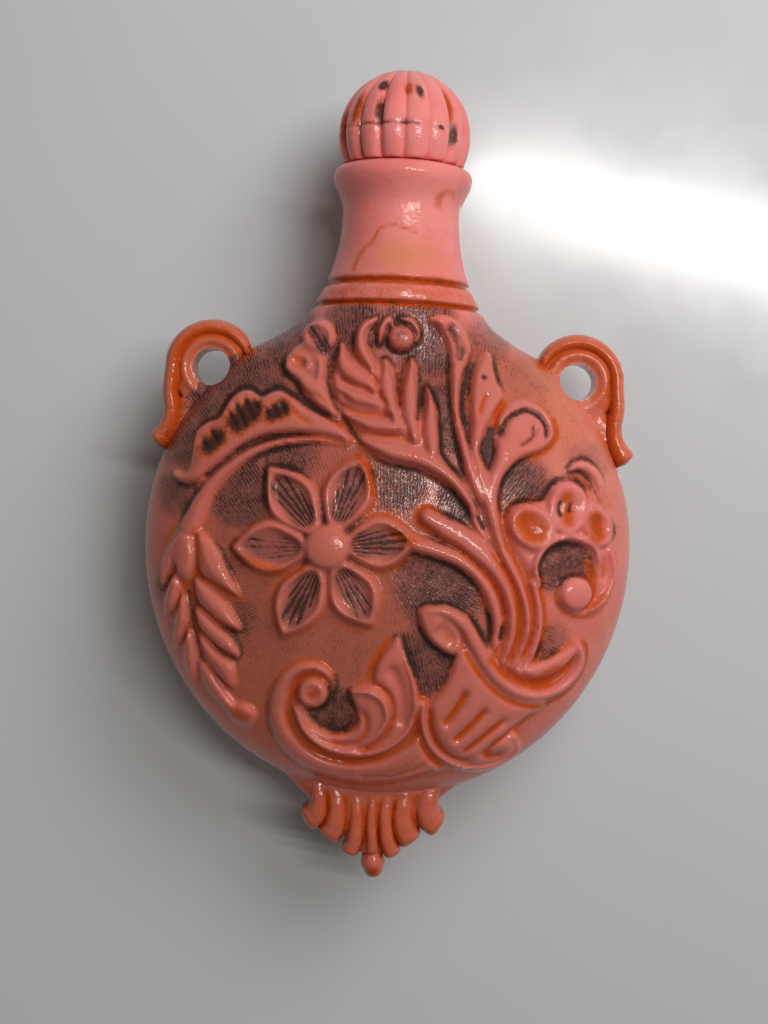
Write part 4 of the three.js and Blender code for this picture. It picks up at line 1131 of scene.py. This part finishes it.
ORANGE_PATCHES = [
    (12, -5, 5, 1), (13, 4, 4.5, 0.9), (10, -14, 6, 0.9), (16, -11, 4, 1), (18, -3, 3.5, 0.9),
    (-3, -19, 5, 0.8), (-0.5, -10, 2.6, 0.9), (-19, -3, 4, 0.8), (-16, -8, 4, 0.7), (-12, -1, 4, 0.6),
    (-8, -5, 4, 0.6), (-2, 12, 4, 0.8), (0, 4, 3, 0.7), (1.5, -1, 3, 0.7), (8, 14, 3, 0.7),
    (14, 10, 3, 0.9), (3, 3.5, 2.5, 0.9), (-7, -12, 4, 0.7), (-17, 8, 3.5, 0.5), (-1, -6, 3, 0.4),
    (3, -14, 2, 0.8),
]
HATCH_PATCHES = [
    (-15, 14, 5.5, 1), (-10, 18.5, 3.2, 0.9), (-19.5, 9, 3, 0.8), (-13, 4.5, 3.6, 0.95),
    (-9, 8.5, 3, 0.8), (3, 18, 3, 0.9), (4.5, 12, 3.5, 1), (0.8, 6, 2.8, 0.9), (11.5, 6.5, 2.8, 0.9),
    (5, -3, 4.5, 1), (4, -10, 3.5, 1), (16, -0.8, 2.8, 0.95), (-4.2, -15, 2.6, 1), (15, -8, 2.2, 0.6),
    (-2, -9, 4, 0.35), (-13, -7, 2.6, 0.5), (-19.5, 4.5, 2.5, 0.7), (12, 16.5, 3.6, 0.34),
    (8.5, 19.5, 3, 0.5), (0, 21.5, 2.5, 0.6), (-12, -12, 4, 0.2), (6, 4.5, 2, 1), (18, 8.5, 2.4, 0.4),
    (-20.5, -5, 1.6, 0.5), (-4, 20.5, 3, 0.85), (-9.5, 20.3, 2.5, 0.8), (-4.5, 22, 2, 0.6),
    (3, 21.6, 2.5, 0.8),
]
TAN_PATCHES = [(14, 14, 6, 1), (11, 17, 5, 1), (20, 10, 4, 0.8), (0, 21.5, 3, 0.5), (21, 4, 4, 0.6),
    (-21, 5, 4, 0.5), (-11, -4, 3.5, 0.6), (-8, -9, 5, 0.5), (0, -8, 5, 0.5), (-8, -14, 8, 0.6),
    (-15, -4, 6, 0.5), (17, -14, 5, 0.2), (9, 18, 4, 0.8), (0.5, 4.6, 2.5, 0.6)]


def patches(x, y, rows_of, base=0.0):
    """How strong something is at each point: soft round patches of x, y, radius and strength."""
    value = np.zeros(len(x)) + base
    for px, py, radius, strength in rows_of:
        gap = ((x - px) ** 2 + (y - py) ** 2) / radius**2
        value = np.maximum(value, strength * np.exp(-0.9 * gap**1.5))
    return value


# %% [markdown]
# ## Writing the stain on the points
# The joined mesh has new points, so each is looked up on the sheet again by its place. Points
# of the handles, foot, neck and inside are told apart by where they are.

# %% Read the points back in millimetres
def points_of(piece):
    """The points of a piece in mm in the flask's plane."""
    at = np.zeros(len(piece.data.vertices) * 3)
    piece.data.vertices.foreach_get("co", at)
    return at.reshape(-1, 3) / MM - (0, -REST_Y, REST_DEPTH)


def write_values(piece, name, values):
    """Stores one number on each point, for the material to read."""
    layer = piece.data.attributes.new(name, "FLOAT", "POINT")
    layer.data.foreach_set("value", np.asarray(values, np.float32))


def bell(distance, width):
    """1 at distance 0, and less and less on both sides of it."""
    return np.exp(-((distance / width) ** 2))


def handle_stain(x, y):
    """Stain on and round a handle: strong in its groove, weaker on the rest."""
    down = [(20.4, 13), (20.3, 11.4), (20.9, 9.8), (21.6, 8.2)]
    line = smooth([(13.6, 17.6)] + arc(1, 3.25, 150, -10, 8) + down)
    gap, _ = nearest(np.abs(x), y, line)
    return np.maximum(bell(gap, 0.7), 0.45 * bell(gap, 2.2))


# %% Tell the parts of the bottle apart
at = points_of(bottle)
x, y, z = at.T
on_front = z > 0
width, depth = section(np.clip(y, 0.01 - FLASK_DROP, 35.5))
reach = np.hypot(x / np.maximum(width, 1), z / np.maximum(depth, 1))
skin_reach = np.hypot(x / np.maximum(width, 1e-3), z / np.maximum(depth, 1e-3))
in_skin = (y < 22.3) & (reach > 0.9) & (np.hypot(x, y) < 24.5)
handles = (np.abs(x) > 12.4) & (y > 7) & (np.hypot(x, y) > 20.2)
handles &= (skin_reach > 1.06) & (np.abs(z) < 2.9)
foot = (y < -20.5) & (np.abs(x) < 8.5) & (skin_reach > 1.08) & (np.abs(z) < 3.8)
foot |= y < -23.4
neck = (y > 21.6) & (skin_reach > 0.85)
print("points on handles:", int(handles.sum()), "on foot:", int(foot.sum()))


# %% Write the bottle's stain
def rub_stain(sheet, strength):
    """How much of each stain, and of the brown tint with its painted shade, lies on one face, from the
    carved sheet of it.
    """
    line = bell(sheet.edge + 0.1, 0.34)
    halo = bell(np.minimum(sheet.edge, 0), 0.7) * (sheet.edge < 0.1)
    ground = 1 - ease(sheet.edge, -0.1, 0.15)
    dark_here = patches(sheet.x, sheet.y, DARK_PATCHES, 0.06) * strength
    orange_here = patches(sheet.x, sheet.y, ORANGE_PATCHES, 0.4) * strength
    from_axis = np.hypot(sheet.x, sheet.y)
    thin = 0.04 + 0.3 * (1 - ease(from_axis, 14, 20)) * (1 - ease(sheet.x, 12, 16))
    # Painted shade: the brown tint is heavy on the left and thin to the right and at the rim, where the
    # light falls.
    tint_and_shade_share = 0.95 - 0.6 * ease(sheet.x, 4, 18)
    tint_and_shade_share = tint_and_shade_share * (1 - 0.45 * ease(from_axis, 19, 23)) * (1 - ease(sheet.y, 19.5, 22.5))
    low = 1 - ease(sheet.y, -4, 9)
    tan_here = patches(sheet.x, sheet.y, TAN_PATCHES, 0.1 + 0.2 * low) * strength
    return {
        "dark": np.maximum(sheet.dark, dark_here * np.maximum(0.95 * line, 0.55 * halo)),
        "orange": np.maximum(sheet.orange, orange_here * np.maximum(line, 0.45 * halo)),
        "hatch": patches(sheet.x, sheet.y, HATCH_PATCHES, thin) * ground * strength,
        "tan": tan_here * (0.15 + 0.25 * low + 0.6 * ground),
        "film_and_shade": tint_and_shade_share * strength * (0.8 + 0.2 * ground),
        "vein": sheet.vein,
        "vein_across": sheet.vein_across,
    }


STAINS = ("dark", "orange", "hatch", "tan", "film_and_shade", "vein", "vein_across")
stain = {name: np.zeros(len(at)) for name in STAINS}
for jobs, face, strength in ((front_list, on_front, 1.0), (back_list, ~on_front, 0.5)):
    chosen = np.flatnonzero(face & in_skin & ~handles & ~foot)
    rubbed = rub_stain(carve(x[chosen], y[chosen], jobs), strength)
    for name in STAINS:
        stain[name][chosen] = rubbed[name]
near_handles = (np.abs(x) > 12) & (y > 6.5) & (y < 21.5) & (np.abs(z) < 3.6)


def add_stain(name, values):
    """Lays more of one stain on the bottle: the stronger value stays."""
    stain[name] = np.maximum(stain[name], values)


add_stain("orange", near_handles * handle_stain(x, y))
add_stain("orange", handles * (0.46 + 0.05 * np.sign(x)))
add_stain("tan", handles * 0.5)
# Painted shade: the left handle, turned away from the light, gets more brown tint than the right one. The
# foot gets an even layer of the tint.
add_stain("film_and_shade", handles * (0.5 - 0.22 * np.sign(x)))
add_stain("film_and_shade", foot * 0.85)
print("points on the front:", int((on_front & in_skin).sum()))

# %% Stain the foot and the neck
FOOT_GROOVES = [(np.array(a) + np.array(b)) / 2 for (a, _), (b, _) in zip(LOBES, LOBES[1:])]
CRACK = [
    (-4.1, 25.2), (-4, 26), (-3.3, 27.3), (-2.6, 27.9), (-1.9, 29.1), (-0.6, 29.45), (0.6, 29.15),
    (1.4, 28.95),
]
HOOK = [(3.35, 31.6), (3.5, 32.5), (4.1, 32.9), (4.6, 32.8)]
for line in FOOT_GROOVES:
    gap, _ = nearest(x, y, smooth(line))
    low = ease(-y, 22.0, 24.0)
    add_stain("orange", low * foot * bell(gap, 0.42))
    add_stain("dark", 0.34 * low * foot * bell(gap, 0.3))
tip = np.exp(-((x + 0.05) ** 2 + (y + 31.2) ** 2) / 0.9)
add_stain("orange", foot * np.maximum(0.44, tip))
add_stain("dark", foot * 0.3 * tip)
for middle, _, spread in NECK_GROOVES:
    line = bell(y - middle, spread * 2.0)
    add_stain("orange", neck * line)
    add_stain("dark", neck * 0.3 * line)
for line, width, strength in ((CRACK, 0.55, 0.62), (HOOK, 0.9, 0.55)):
    gap, _ = nearest(x, y, smooth(line))
    add_stain("orange", strength * neck * on_front * bell(2 * gap, width))
add_stain("orange", neck * 0.5 * bell(y - 23.3, 1.3))
wash = np.exp(-(((x - 0.5) / 3.6) ** 2) - ((y - 26.6) / 1.7) ** 2) * on_front
add_stain("tan", neck * np.maximum(0.95 * wash, 0.1))
for name in STAINS:
    write_values(bottle, name, stain[name])
stained = np.maximum(stain["dark"], stain["orange"]) > 0.3
print("share of the points with stain:", round(float(stained.mean()), 3))

# %% [markdown]
# ## Shader maths that reads like Python
# A material is a net of nodes. Wired by hand it is hard to read, so one small class wraps a
# socket and lets us write sums with it. Colours don't go through Math nodes, which would turn
# them grey. They are mixed by a Mix node. The same class does the sums in a node tree that
# makes shapes.


# %% Wrap a socket
class Wire:
    """A number that changes over the surface. It can be added, multiplied and so on."""

    def __init__(self, bench, socket):
        self.bench, self.socket = bench, socket

    def _math(self, operation, *values):
        inputs = dict(enumerate(values))
        return self.bench.node("ShaderNodeMath", {"operation": operation}, inputs)

    def __add__(self, other):
        return self._math("ADD", self, other)

    def __sub__(self, other):
        return self._math("SUBTRACT", self, other)

    def __rsub__(self, other):
        return self._math("SUBTRACT", other, self)

    def __mul__(self, other):
        return self._math("MULTIPLY", self, other)

    def __truediv__(self, other):
        return self._math("DIVIDE", self, other)

    def __rtruediv__(self, other):
        return self._math("DIVIDE", other, self)

    def __pow__(self, other):
        return self._math("POWER", self, other)

    __radd__, __rmul__ = __add__, __mul__

    def wave(self):
        return self._math("SINE", self)

    def whole(self):
        return self._math("FLOOR", self)

    def step(self, low, high):
        """0 below low, 1 above high, and a soft step between."""
        return self.bench.node(
            "ShaderNodeMapRange",
            {"interpolation_type": "SMOOTHSTEP"},
            {"Value": self, "From Min": low, "From Max": high, "To Min": 0.0, "To Max": 1.0},
        )


# %% [markdown]
# ## A bench for nodes
# One method makes any node: its type, its settings first, then the values or links of its
# sockets. A few short helpers on top of it read a value from the points, make noise, and mix
# two colours.


# %% Make nodes
GLOSS_IOR = 1.5


class Bench:
    """A node tree and the few ways in which we add nodes to it."""

    def __init__(self, tree):
        self.tree = tree
        tree.nodes.clear()

    def node(self, kind, settings=None, inputs=None, output=0):
        made = self.tree.nodes.new(kind)
        for key, value in (settings or {}).items():
            setattr(made, key, value)
        for key, value in (inputs or {}).items():
            if isinstance(value, Wire):
                self.tree.links.new(value.socket, made.inputs[key])
            else:
                made.inputs[key].default_value = value
        return Wire(self, made.outputs[output]) if len(made.outputs) else None

    def value(self, name):
        """A number stored on the points."""
        return self.node("ShaderNodeAttribute", {"attribute_name": name}, output="Fac")

    def noise(self, where, size, detail=2.0, rough=0.5):
        """Cloudy values from 0 to 1 with lumps of about size mm."""
        inputs = {"Vector": where, "Scale": 1 / size, "Detail": detail, "Roughness": rough}
        return self.node("ShaderNodeTexNoise", {}, inputs)

    def blend(self, share, first, second):
        """One colour turning into another."""
        inputs = {0: share, 6: first, 7: second}
        return self.node("ShaderNodeMix", {"data_type": "RGBA"}, inputs, output=2)

    def place(self, shift=(0.0, 0.0, 0.0)):
        """The place of each point in mm, moved by shift."""
        metres = self.node("ShaderNodeTexCoord", output="Object")
        scaling = {0: metres, "Scale": 1 / MM}
        scaled = self.node("ShaderNodeVectorMath", {"operation": "SCALE"}, scaling)
        return self.node("ShaderNodeVectorMath", {"operation": "ADD"}, {0: scaled, 1: shift})

    def gloss(self, inputs):
        """Ends the tree of a material in one glossy surface with these values."""
        surface = self.node("ShaderNodeBsdfPrincipled", {}, {"IOR": GLOSS_IOR, **inputs})
        self.node("ShaderNodeOutputMaterial", {}, {"Surface": surface})


# %% Make a material and a colour
def new_material(name):
    """A material with an empty tree, and a bench to fill it."""
    material = bpy.data.materials.new(name)
    material.use_nodes = True
    return material, Bench(material.node_tree)


def paint(*levels):
    """A colour as a camera stores it, 0 to 255, made linear for the shader."""
    levels = [level / 255 for level in levels]
    linear = [c / 12.92 if c <= 0.04045 else ((c + 0.055) / 1.055) ** 2.4 for c in levels]
    return (*linear, 1.0)


# %% [markdown]
# ## Coral plastic, stained and wiped
# The plastic is glossy and evenly coral, a little paler in places. The ground between the
# leaves is hatched with short strokes that point away from the middle of the flask. The
# strokes are drawn by the material: the flask is divided into rings, and a wave runs round
# each ring with the same distance between strokes everywhere. In the upper half the rings run
# round a point 10 mm lower, so that the strokes stand more upright. Then come the tan wash, the
# brown tint, which is partly painted shade, and the two stains, orange first and dark over it,
# both broken up by noise as a wiped stain is.

# %% Choose the colours
CORAL = paint(231, 124, 119)
CORAL_PALE = paint(239, 142, 138)
CORAL_DEEP = paint(210, 102, 93)
TAN = paint(212, 128, 88)
MAUVE = paint(112, 68, 62)
FILM_AND_SHADE = paint(178, 90, 66)
ORANGE = paint(202, 88, 8)
RUST = paint(172, 52, 10)
UMBER = paint(46, 28, 24)


# %% Draw the hatching and the veins
STROKE_PITCH = 0.32
RING_WIDTH = 1.0
STROKE_BEND = 2.5
STROKE_RISE = 10.0
VEIN_PITCH = 0.5


def hatching(bench, place, patch, blotch):
    """Short strokes in rings round the flask, where the points ask for them."""
    axes = bench.node("ShaderNodeSeparateXYZ", {}, {0: place})
    across, along = [Wire(bench, axes.socket.node.outputs[i]) for i in (0, 1)]
    from_middle = along + along.step(-STROKE_BEND, STROKE_BEND) * STROKE_RISE
    radius = (across * across + from_middle * from_middle) ** 0.5
    ring = ((radius + patch * 3.4) / RING_WIDTH).whole()
    turn = bench.node("ShaderNodeMath", {"operation": "ARCTAN2"}, {0: from_middle, 1: across})
    round_way = turn * ring * RING_WIDTH
    streak_at = {0: radius / 0.8, 1: round_way / 0.24, 2: ring * 3.7}
    streak = bench.noise(bench.node("ShaderNodeCombineXYZ", {}, streak_at), 1.0, 1.0)
    wave = (round_way * (2 * math.pi / STROKE_PITCH) + patch * 9.0).wave()
    strokes = wave * 0.32 + streak * 1.95
    hatch = bench.value("hatch")
    return strokes.step(0.8, 1.3) * hatch.step(0.1, 0.75) * blotch.step(0.36, 0.62)


def vein_lines(bench, patch, blotch):
    """Fine dark lines in the dishes of the petals."""
    lines = (bench.value("vein_across") * (2 * math.pi / VEIN_PITCH) + patch * 3.0).wave()
    return (bench.value("vein") * (lines * 0.3 + blotch * 1.6)).step(0.62, 1.0)


# %% Mix the coral plastic
def coral_plastic(name, seed):
    """The stained plastic; the seed moves its clouds, so that two pieces don't share them."""
    material, bench = new_material(name)
    place = bench.place((seed, REST_Y, 0.0))
    cloud = bench.noise(place, 7.0, 3.0)
    patch = bench.noise(place, 1.6, 3.0, 0.6)
    grit = bench.noise(place, 0.35, 2.0, 0.6)
    dust = bench.noise(place, 0.17, 1.0)
    blotch = patch * 0.55 + grit * 0.45
    dark, orange, hatch, tan, film_and_shade, vein = [bench.value(stain_name) for stain_name in STAINS[:6]]
    scratch = hatching(bench, place, patch, blotch)
    lined = vein_lines(bench, patch, blotch)
    dark_stain = (dark + blotch * 1.3 - 0.6).step(0.2, 0.85) * dark.step(0.06, 0.3)
    orange_stain = (orange + blotch * 0.8 - 0.4).step(0.12, 0.95) * orange.step(0.03, 0.2)
    specks = dust.step(0.55, 0.68) * patch.step(0.4, 0.6) * hatch.step(0.01, 0.04)
    colour = CORAL
    for share, coat in [
        (cloud.step(0.35, 0.7), CORAL_PALE),
        (patch.step(0.45, 0.75) * 0.25, CORAL_DEEP),
        (tan * (0.5 + cloud * 0.6), TAN),
        # The brown tint is partly painted shade: heavier on the left, away from the light.
        (film_and_shade * (0.55 + cloud * 0.6), FILM_AND_SHADE),
        (specks * tan * 0.65, UMBER),
        (hatch.step(0.06, 0.85) * (0.4 + blotch), MAUVE),
        (vein * (0.45 + blotch * 0.7), MAUVE),
        (orange_stain * 0.93, ORANGE),
        (orange_stain**2.0 * 0.55, RUST),
        (scratch * 0.7, UMBER),
        (lined * 0.75, UMBER),
        (dark_stain * 0.93, UMBER),
    ]:
        colour = bench.blend(share, colour, coat)
    relief = grit * 0.045 + patch * 0.07 - scratch * 0.1 - lined * 0.08
    bump = {"Strength": 0.8, "Distance": MM, "Height": relief}
    bench.gloss({
        "Base Color": colour,
        "Roughness": 0.09 + patch * 0.12 + dark_stain * 0.3 + hatch * 0.06,
        "Normal": bench.node("ShaderNodeBump", {}, bump),
        "Subsurface Weight": 0.12,
        "Subsurface Radius": (1.0, 0.35, 0.25),
        "Subsurface Scale": 0.0008,
    })
    print(name, "has", len(bench.tree.nodes), "nodes")
    return material


# %% [markdown]
# ## Finishing a piece
# A finished mesh gets its material, smooth shading with real creases kept sharp, and the
# body it rides on as its parent, and the imported solid that it stands for is hidden.


# %% Finish the bottle
def finish_piece(piece, material, node, crease):
    """Dresses a piece, with sharp edges where it bends by more than crease degrees."""
    piece.data.materials.clear()
    piece.data.materials.append(material)
    piece.data.shade_smooth()
    piece.data.set_sharp_from_angle(angle=math.radians(crease))
    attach(piece, "root")
    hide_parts(node)
    print(piece.name, "triangles:", sum(len(face.vertices) - 2 for face in piece.data.polygons))


finish_piece(bottle, coral_plastic("stained_coral", 0.0), "bottle", crease=72)

# %% [markdown]
# ## The ball stopper
# The stopper is a ball with sixteen ribs, like a melon, on a plain plug. All ribs are alike,
# so we model one gore, the strip from the middle of one groove to the next, and let Geometry
# Nodes repeat it round the axis. The gores meet point to point, and merging them closes the
# ball.

# %% Give the levels of the stopper
RIBS = 16
BALL_RADIUS = 6.25
BALL_CENTRE = 38.4
SEAT = 35.8
PLUG_RADIUS = 2.85
GORE_STEPS = 12
RIB_DEPTH = 0.55
SEAM_AT = 38.7
PLUG_END = SEAT - 4
seat_angle = math.asin((SEAT - BALL_CENTRE) / BALL_RADIUS)


def meridian():
    """Radius, height and depth of the groove at each level of the stopper, from the top down."""
    rows = []
    for t in np.linspace(math.pi / 2 - 0.03, seat_angle, 56):
        level = BALL_RADIUS * math.cos(t)
        height = BALL_CENTRE + BALL_RADIUS * math.sin(t)
        rows.append((level, height, RIB_DEPTH * min(1, level / 3.2)))
    rim = rows[-1][0]
    under = SEAT - 0.12
    rows += [(rim - 0.12, SEAT - 0.09, 0.5), (rim - 0.7, under, 0.3), (4.2, under, 0.0)]
    rows += [(PLUG_RADIUS + 0.1, under, 0.0), (PLUG_RADIUS, SEAT - 0.3, 0.0)]
    rows += [(PLUG_RADIUS, SEAT - 2, 0.0), (PLUG_RADIUS, SEAT - 3.5, 0.0)]
    return rows + [(PLUG_RADIUS - 0.35, PLUG_END, 0.0), (0.6, PLUG_END, 0.0)]


# %% Model one gore
def gore():
    """Points and faces of one rib, from the middle of one groove to the next."""
    points, faces = [], []
    levels = meridian()
    for radius, height, groove_depth in levels:
        seam = 0.07 * math.exp(-(((height - SEAM_AT) / 0.14) ** 2)) * (groove_depth > 0)
        for u in np.linspace(-1, 1, GORE_STEPS + 1):
            r = radius - groove_depth * abs(u) ** 3.2 - 0.1 * groove_depth * u * u - seam
            angle = math.pi / RIBS * (u + 1)
            points.append((r * math.sin(angle), height, r * math.cos(angle)))
    wide = GORE_STEPS + 1
    bottom = (len(levels) - 1) * wide
    for row in range(0, bottom, wide):
        for a in range(row, row + GORE_STEPS):
            faces.append((a, a + wide, a + wide + 1, a + 1))
    top_pole, plug_pole = len(points), len(points) + 1
    points += [(0.0, BALL_CENTRE + BALL_RADIUS - 0.02, 0.0), (0.0, PLUG_END, 0.0)]
    faces += [(top_pole, a, a + 1) for a in range(GORE_STEPS)]
    faces += [(plug_pole, a + 1, a) for a in range(bottom, bottom + GORE_STEPS)]
    return points, faces


strip = make_object("gore", *gore())
print("faces in one gore:", len(strip.data.polygons))

# %% [markdown]
# ## Repeating the gore
# The node tree takes the gore, the number of ribs, the height of the axis and the material. It
# makes one point for each rib, puts a turned copy of the gore on it, makes the copies real,
# merges the points that meet, and sets the material.

# %% Build the tree that repeats a gore
def ribbed_tree():
    """A tree that repeats a gore round an axis, and the names of its input sockets."""
    tree = bpy.data.node_groups.new("ribs_round_an_axis", "GeometryNodeTree")
    bench = Bench(tree)
    named = {}
    kinds = {"Gore": "Geometry", "Ribs": "Int", "Axis height": "Float", "Finish": "Material"}
    for title, kind in kinds.items():
        socket = tree.interface.new_socket(title, in_out="INPUT", socket_type="NodeSocket" + kind)
        named[title] = socket.identifier
    tree.interface.new_socket("Ball", in_out="OUTPUT", socket_type="NodeSocketGeometry")
    start = bench.node("NodeGroupInput").socket.node
    gore_in, ribs, height, finish = [Wire(bench, start.outputs[title]) for title in named]
    foot_of_axis = bench.node("ShaderNodeCombineXYZ", {}, {"Z": height})
    line = {"Count": ribs, "Start Location": foot_of_axis, "Offset": (0, 0, 0)}
    points = bench.node("GeometryNodeMeshLine", {}, line)
    angle = bench.node("GeometryNodeInputIndex") * (2 * math.pi / ribs)
    spin = bench.node("ShaderNodeCombineXYZ", {}, {"Y": angle})
    rotation = bench.node("FunctionNodeEulerToRotation", {}, {0: spin})
    placing = {"Points": points, "Instance": gore_in, "Rotation": rotation}
    copies = bench.node("GeometryNodeInstanceOnPoints", {}, placing)
    real = bench.node("GeometryNodeRealizeInstances", {}, {0: copies})
    merged = bench.node("GeometryNodeMergeByDistance", {}, {"Geometry": real, "Distance": 0.01 * MM})
    ball = bench.node("GeometryNodeSetMaterial", {}, {"Geometry": merged, "Material": finish})
    bench.node("NodeGroupOutput", {}, {0: ball})
    return tree, named


# %% Repeat the gore
tree, sockets = ribbed_tree()
stopper_finish = coral_plastic("stained_coral_stopper", 31.0)
strip.data.transform(Matrix.Translation((0, 0, -REST_DEPTH * MM)))
repeat = strip.modifiers.new("ribs", "NODES")
repeat.node_group = tree
repeat[sockets["Ribs"]] = RIBS
repeat[sockets["Axis height"]] = REST_DEPTH * MM
repeat[sockets["Finish"]] = stopper_finish
ready = strip.evaluated_get(bpy.context.evaluated_depsgraph_get())
stopper = bpy.data.objects.new("ball_stopper", bpy.data.meshes.new_from_object(ready))
bpy.context.scene.collection.objects.link(stopper)
bpy.data.objects.remove(strip)
turn_outwards(stopper)
print("stopper points:", len(stopper.data.vertices))

# %% [markdown]
# ## Wear and stain on the stopper
# Fingers have worn the front of the ball almost smooth, so the ribs there are filled up to a
# part of their height. What stain is left sits in a few grooves as short dashes.

# %% Wear the ball
WORN_AT = 1.2
WORN_WIDTH = 2.6
at = points_of(stopper)
x, y, z = at.T
radius = np.hypot(x, z)
to_centre = np.sqrt(radius**2 + (y - BALL_CENTRE) ** 2)
on_ball = y > SEAT + 0.05
worn = bell(x - WORN_AT, WORN_WIDTH) * (z > 0) * on_ball * 0.62
full = np.maximum(BALL_RADIUS - 0.05, to_centre)
grow = 1 + worn * (full / np.maximum(to_centre, 1) - 1)
at[:, 0], at[:, 2] = x * grow, z * grow
at[:, 1] = np.where(on_ball, BALL_CENTRE + (y - BALL_CENTRE) * grow, y)
stopper.data.vertices.foreach_set("co", to_floor(at).ravel())
print("points worn by more than a tenth:", int((worn > 0.1).sum()))

# %% Stain the stopper
DASHES = [
    (-72, 0.4, 1.8, 0.2, 1), (-50, 1.9, 1.7, 0.5, 1), (-45, -2.5, 0.8, 0.3, 0.4), (-27, 3.9, 0.6, 1, 0.3),
    (-24, 1.2, 1.5, 0.75, 0.7), (-26, -2.9, 0.5, 0.65, 0.2), (2, 3.5, 0.8, 0.1, 1),
    (13, 3.3, 0.8, 0.85, 0.3), (32, 0.1, 0.25, 0.9, 0), (45, 2.4, 1.8, 0.25, 1),
    (48, -0.3, 1.1, 0.9, 0.7), (64, 0.6, 2, 0.2, 1), (48, -3.3, 0.5, 0.95, 0), (66, -3.5, 0.6, 1, 0.2),
    (82, -1.6, 1, 1, 0.3), (84, 1.5, 1.2, 0.5, 0.8), (-90, 0, 2, 0.3, 0.9), (-112, 1, 2, 0, 0.9),
    (-135, -1, 2, 0.4, 0.9), (-157, 2, 1.6, 0, 0.8), (180, 0.5, 2, 0.5, 0.9), (157, -1, 2, 0, 0.8),
    (135, 1.4, 2, 0.3, 0.9), (112, 0, 2.2, 0, 0.9),
]
DASH_WIDTH = 0.42
turn = np.arctan2(x, z)
around = np.degrees(turn)
from_groove = np.abs((turn / (2 * math.pi / RIBS)) % 1 - 0.5)
in_groove = bell(from_groove - 0.5, 0.13) * (y > SEAT)
seam = bell(y - SEAM_AT, 0.16) * (radius > 4)
dark = 0.15 * in_groove + 0.6 * seam * (np.abs(x + 1.2) < 2.6)
orange = 0.3 * in_groove + 0.8 * seam * (x < -1.5)
for angle, level, tall, how_dark, how_orange in DASHES:
    gap = radius * np.radians(np.abs((around - angle + 180) % 360 - 180))
    spot = np.exp(-((gap / DASH_WIDTH) ** 2) - ((y - BALL_CENTRE - level) / tall) ** 2)
    spot = np.minimum(1, 1.15 * spot) * (y > SEAT)
    dark = np.maximum(dark, how_dark * spot)
    orange = np.maximum(orange, how_orange * spot)
for name, values in zip(STAINS, [dark, orange] + [0 * x] * 5):
    write_values(stopper, name, values)
finish_piece(stopper, stopper_finish, "stopper", crease=50)

# %% [markdown]
# ## Floor, lights and air
# The bottle lies on a smooth pale surface that mirrors a little. A long bar of light stands
# up and to the right, and gives the small bright glints. A large soft light and a pale sky
# keep the shadows open.

# %% Lay the floor
FLOOR_SIZE = 900.0
floor_finish, bench = new_material("pale_floor")
place = bench.place()
cloud = bench.noise(place, 40.0, 2.0)
smear = bench.noise(place, 9.0, 4.0, 0.65)
colour = bench.blend(cloud, paint(196, 197, 199), paint(203, 204, 205))
bench.gloss({"Base Color": colour, "Roughness": 0.06 + smear * 0.16})
left, right = -FLOOR_SIZE, FLOOR_SIZE
low, high = REST_Y - FLOOR_SIZE, REST_Y + FLOOR_SIZE
corners = [(left, low), (right, low), (right, high), (left, high)]
floor = make_object("floor", [(*corner, -REST_DEPTH) for corner in corners], [(0, 1, 2, 3)])
floor.data.materials.append(floor_finish)
floor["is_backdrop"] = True
print("floor width in mm:", 2 * FLOOR_SIZE)

# %% Hang the lights
def area_light(name, at, to, wide, tall, power, colour, along=(1, 0, 0)):
    """A flat lamp that looks from one place to another, with its wide side along a direction."""
    lamp = bpy.data.lights.new(name, "AREA")
    lamp.shape = "RECTANGLE"
    lamp.size, lamp.size_y = wide, tall
    lamp.energy = power
    lamp.color = colour
    back = (Vector(at) - Vector(to)).normalized()
    side = (Vector(along) - Vector(along).dot(back) * back).normalized()
    axes = Matrix((side, back.cross(side), back)).transposed().to_4x4()
    holder = bpy.data.objects.new(name, lamp)
    holder.matrix_world = Matrix.Translation(at) @ axes
    bpy.context.scene.collection.objects.link(holder)
    return holder


MIDDLE = (0, 0, 0)
WARM = (1.0, 0.98, 0.95)
COOL = (0.97, 0.98, 1.0)
area_light("window_bar", (0.2, 0.107, 0.6), MIDDLE, 0.34, 0.013, 1.25, WARM, along=(1, -0.19, 0))
soft_box = area_light("soft_box", (0.09, 0.12, 0.16), MIDDLE, 0.12, 0.12, 0.28, COOL)
soft_box.visible_glossy = False
world = bpy.data.worlds.new("room")
bpy.context.scene.world = world
world.use_nodes = True
sky = world.node_tree.nodes["Background"].inputs
sky["Color"].default_value = paint(218, 214, 204)
sky["Strength"].default_value = 0.2
bpy.context.scene.view_settings.view_transform = "Standard"

# %% [markdown]
# ## The size of the dressed bottle
# The dressed bottle must stay the size of its solids, so its box is printed.

# %% Print the dressed box
low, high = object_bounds()
print("dressed box in mm:", [round(1000 * (b - a), 2) for a, b in zip(low, high)])
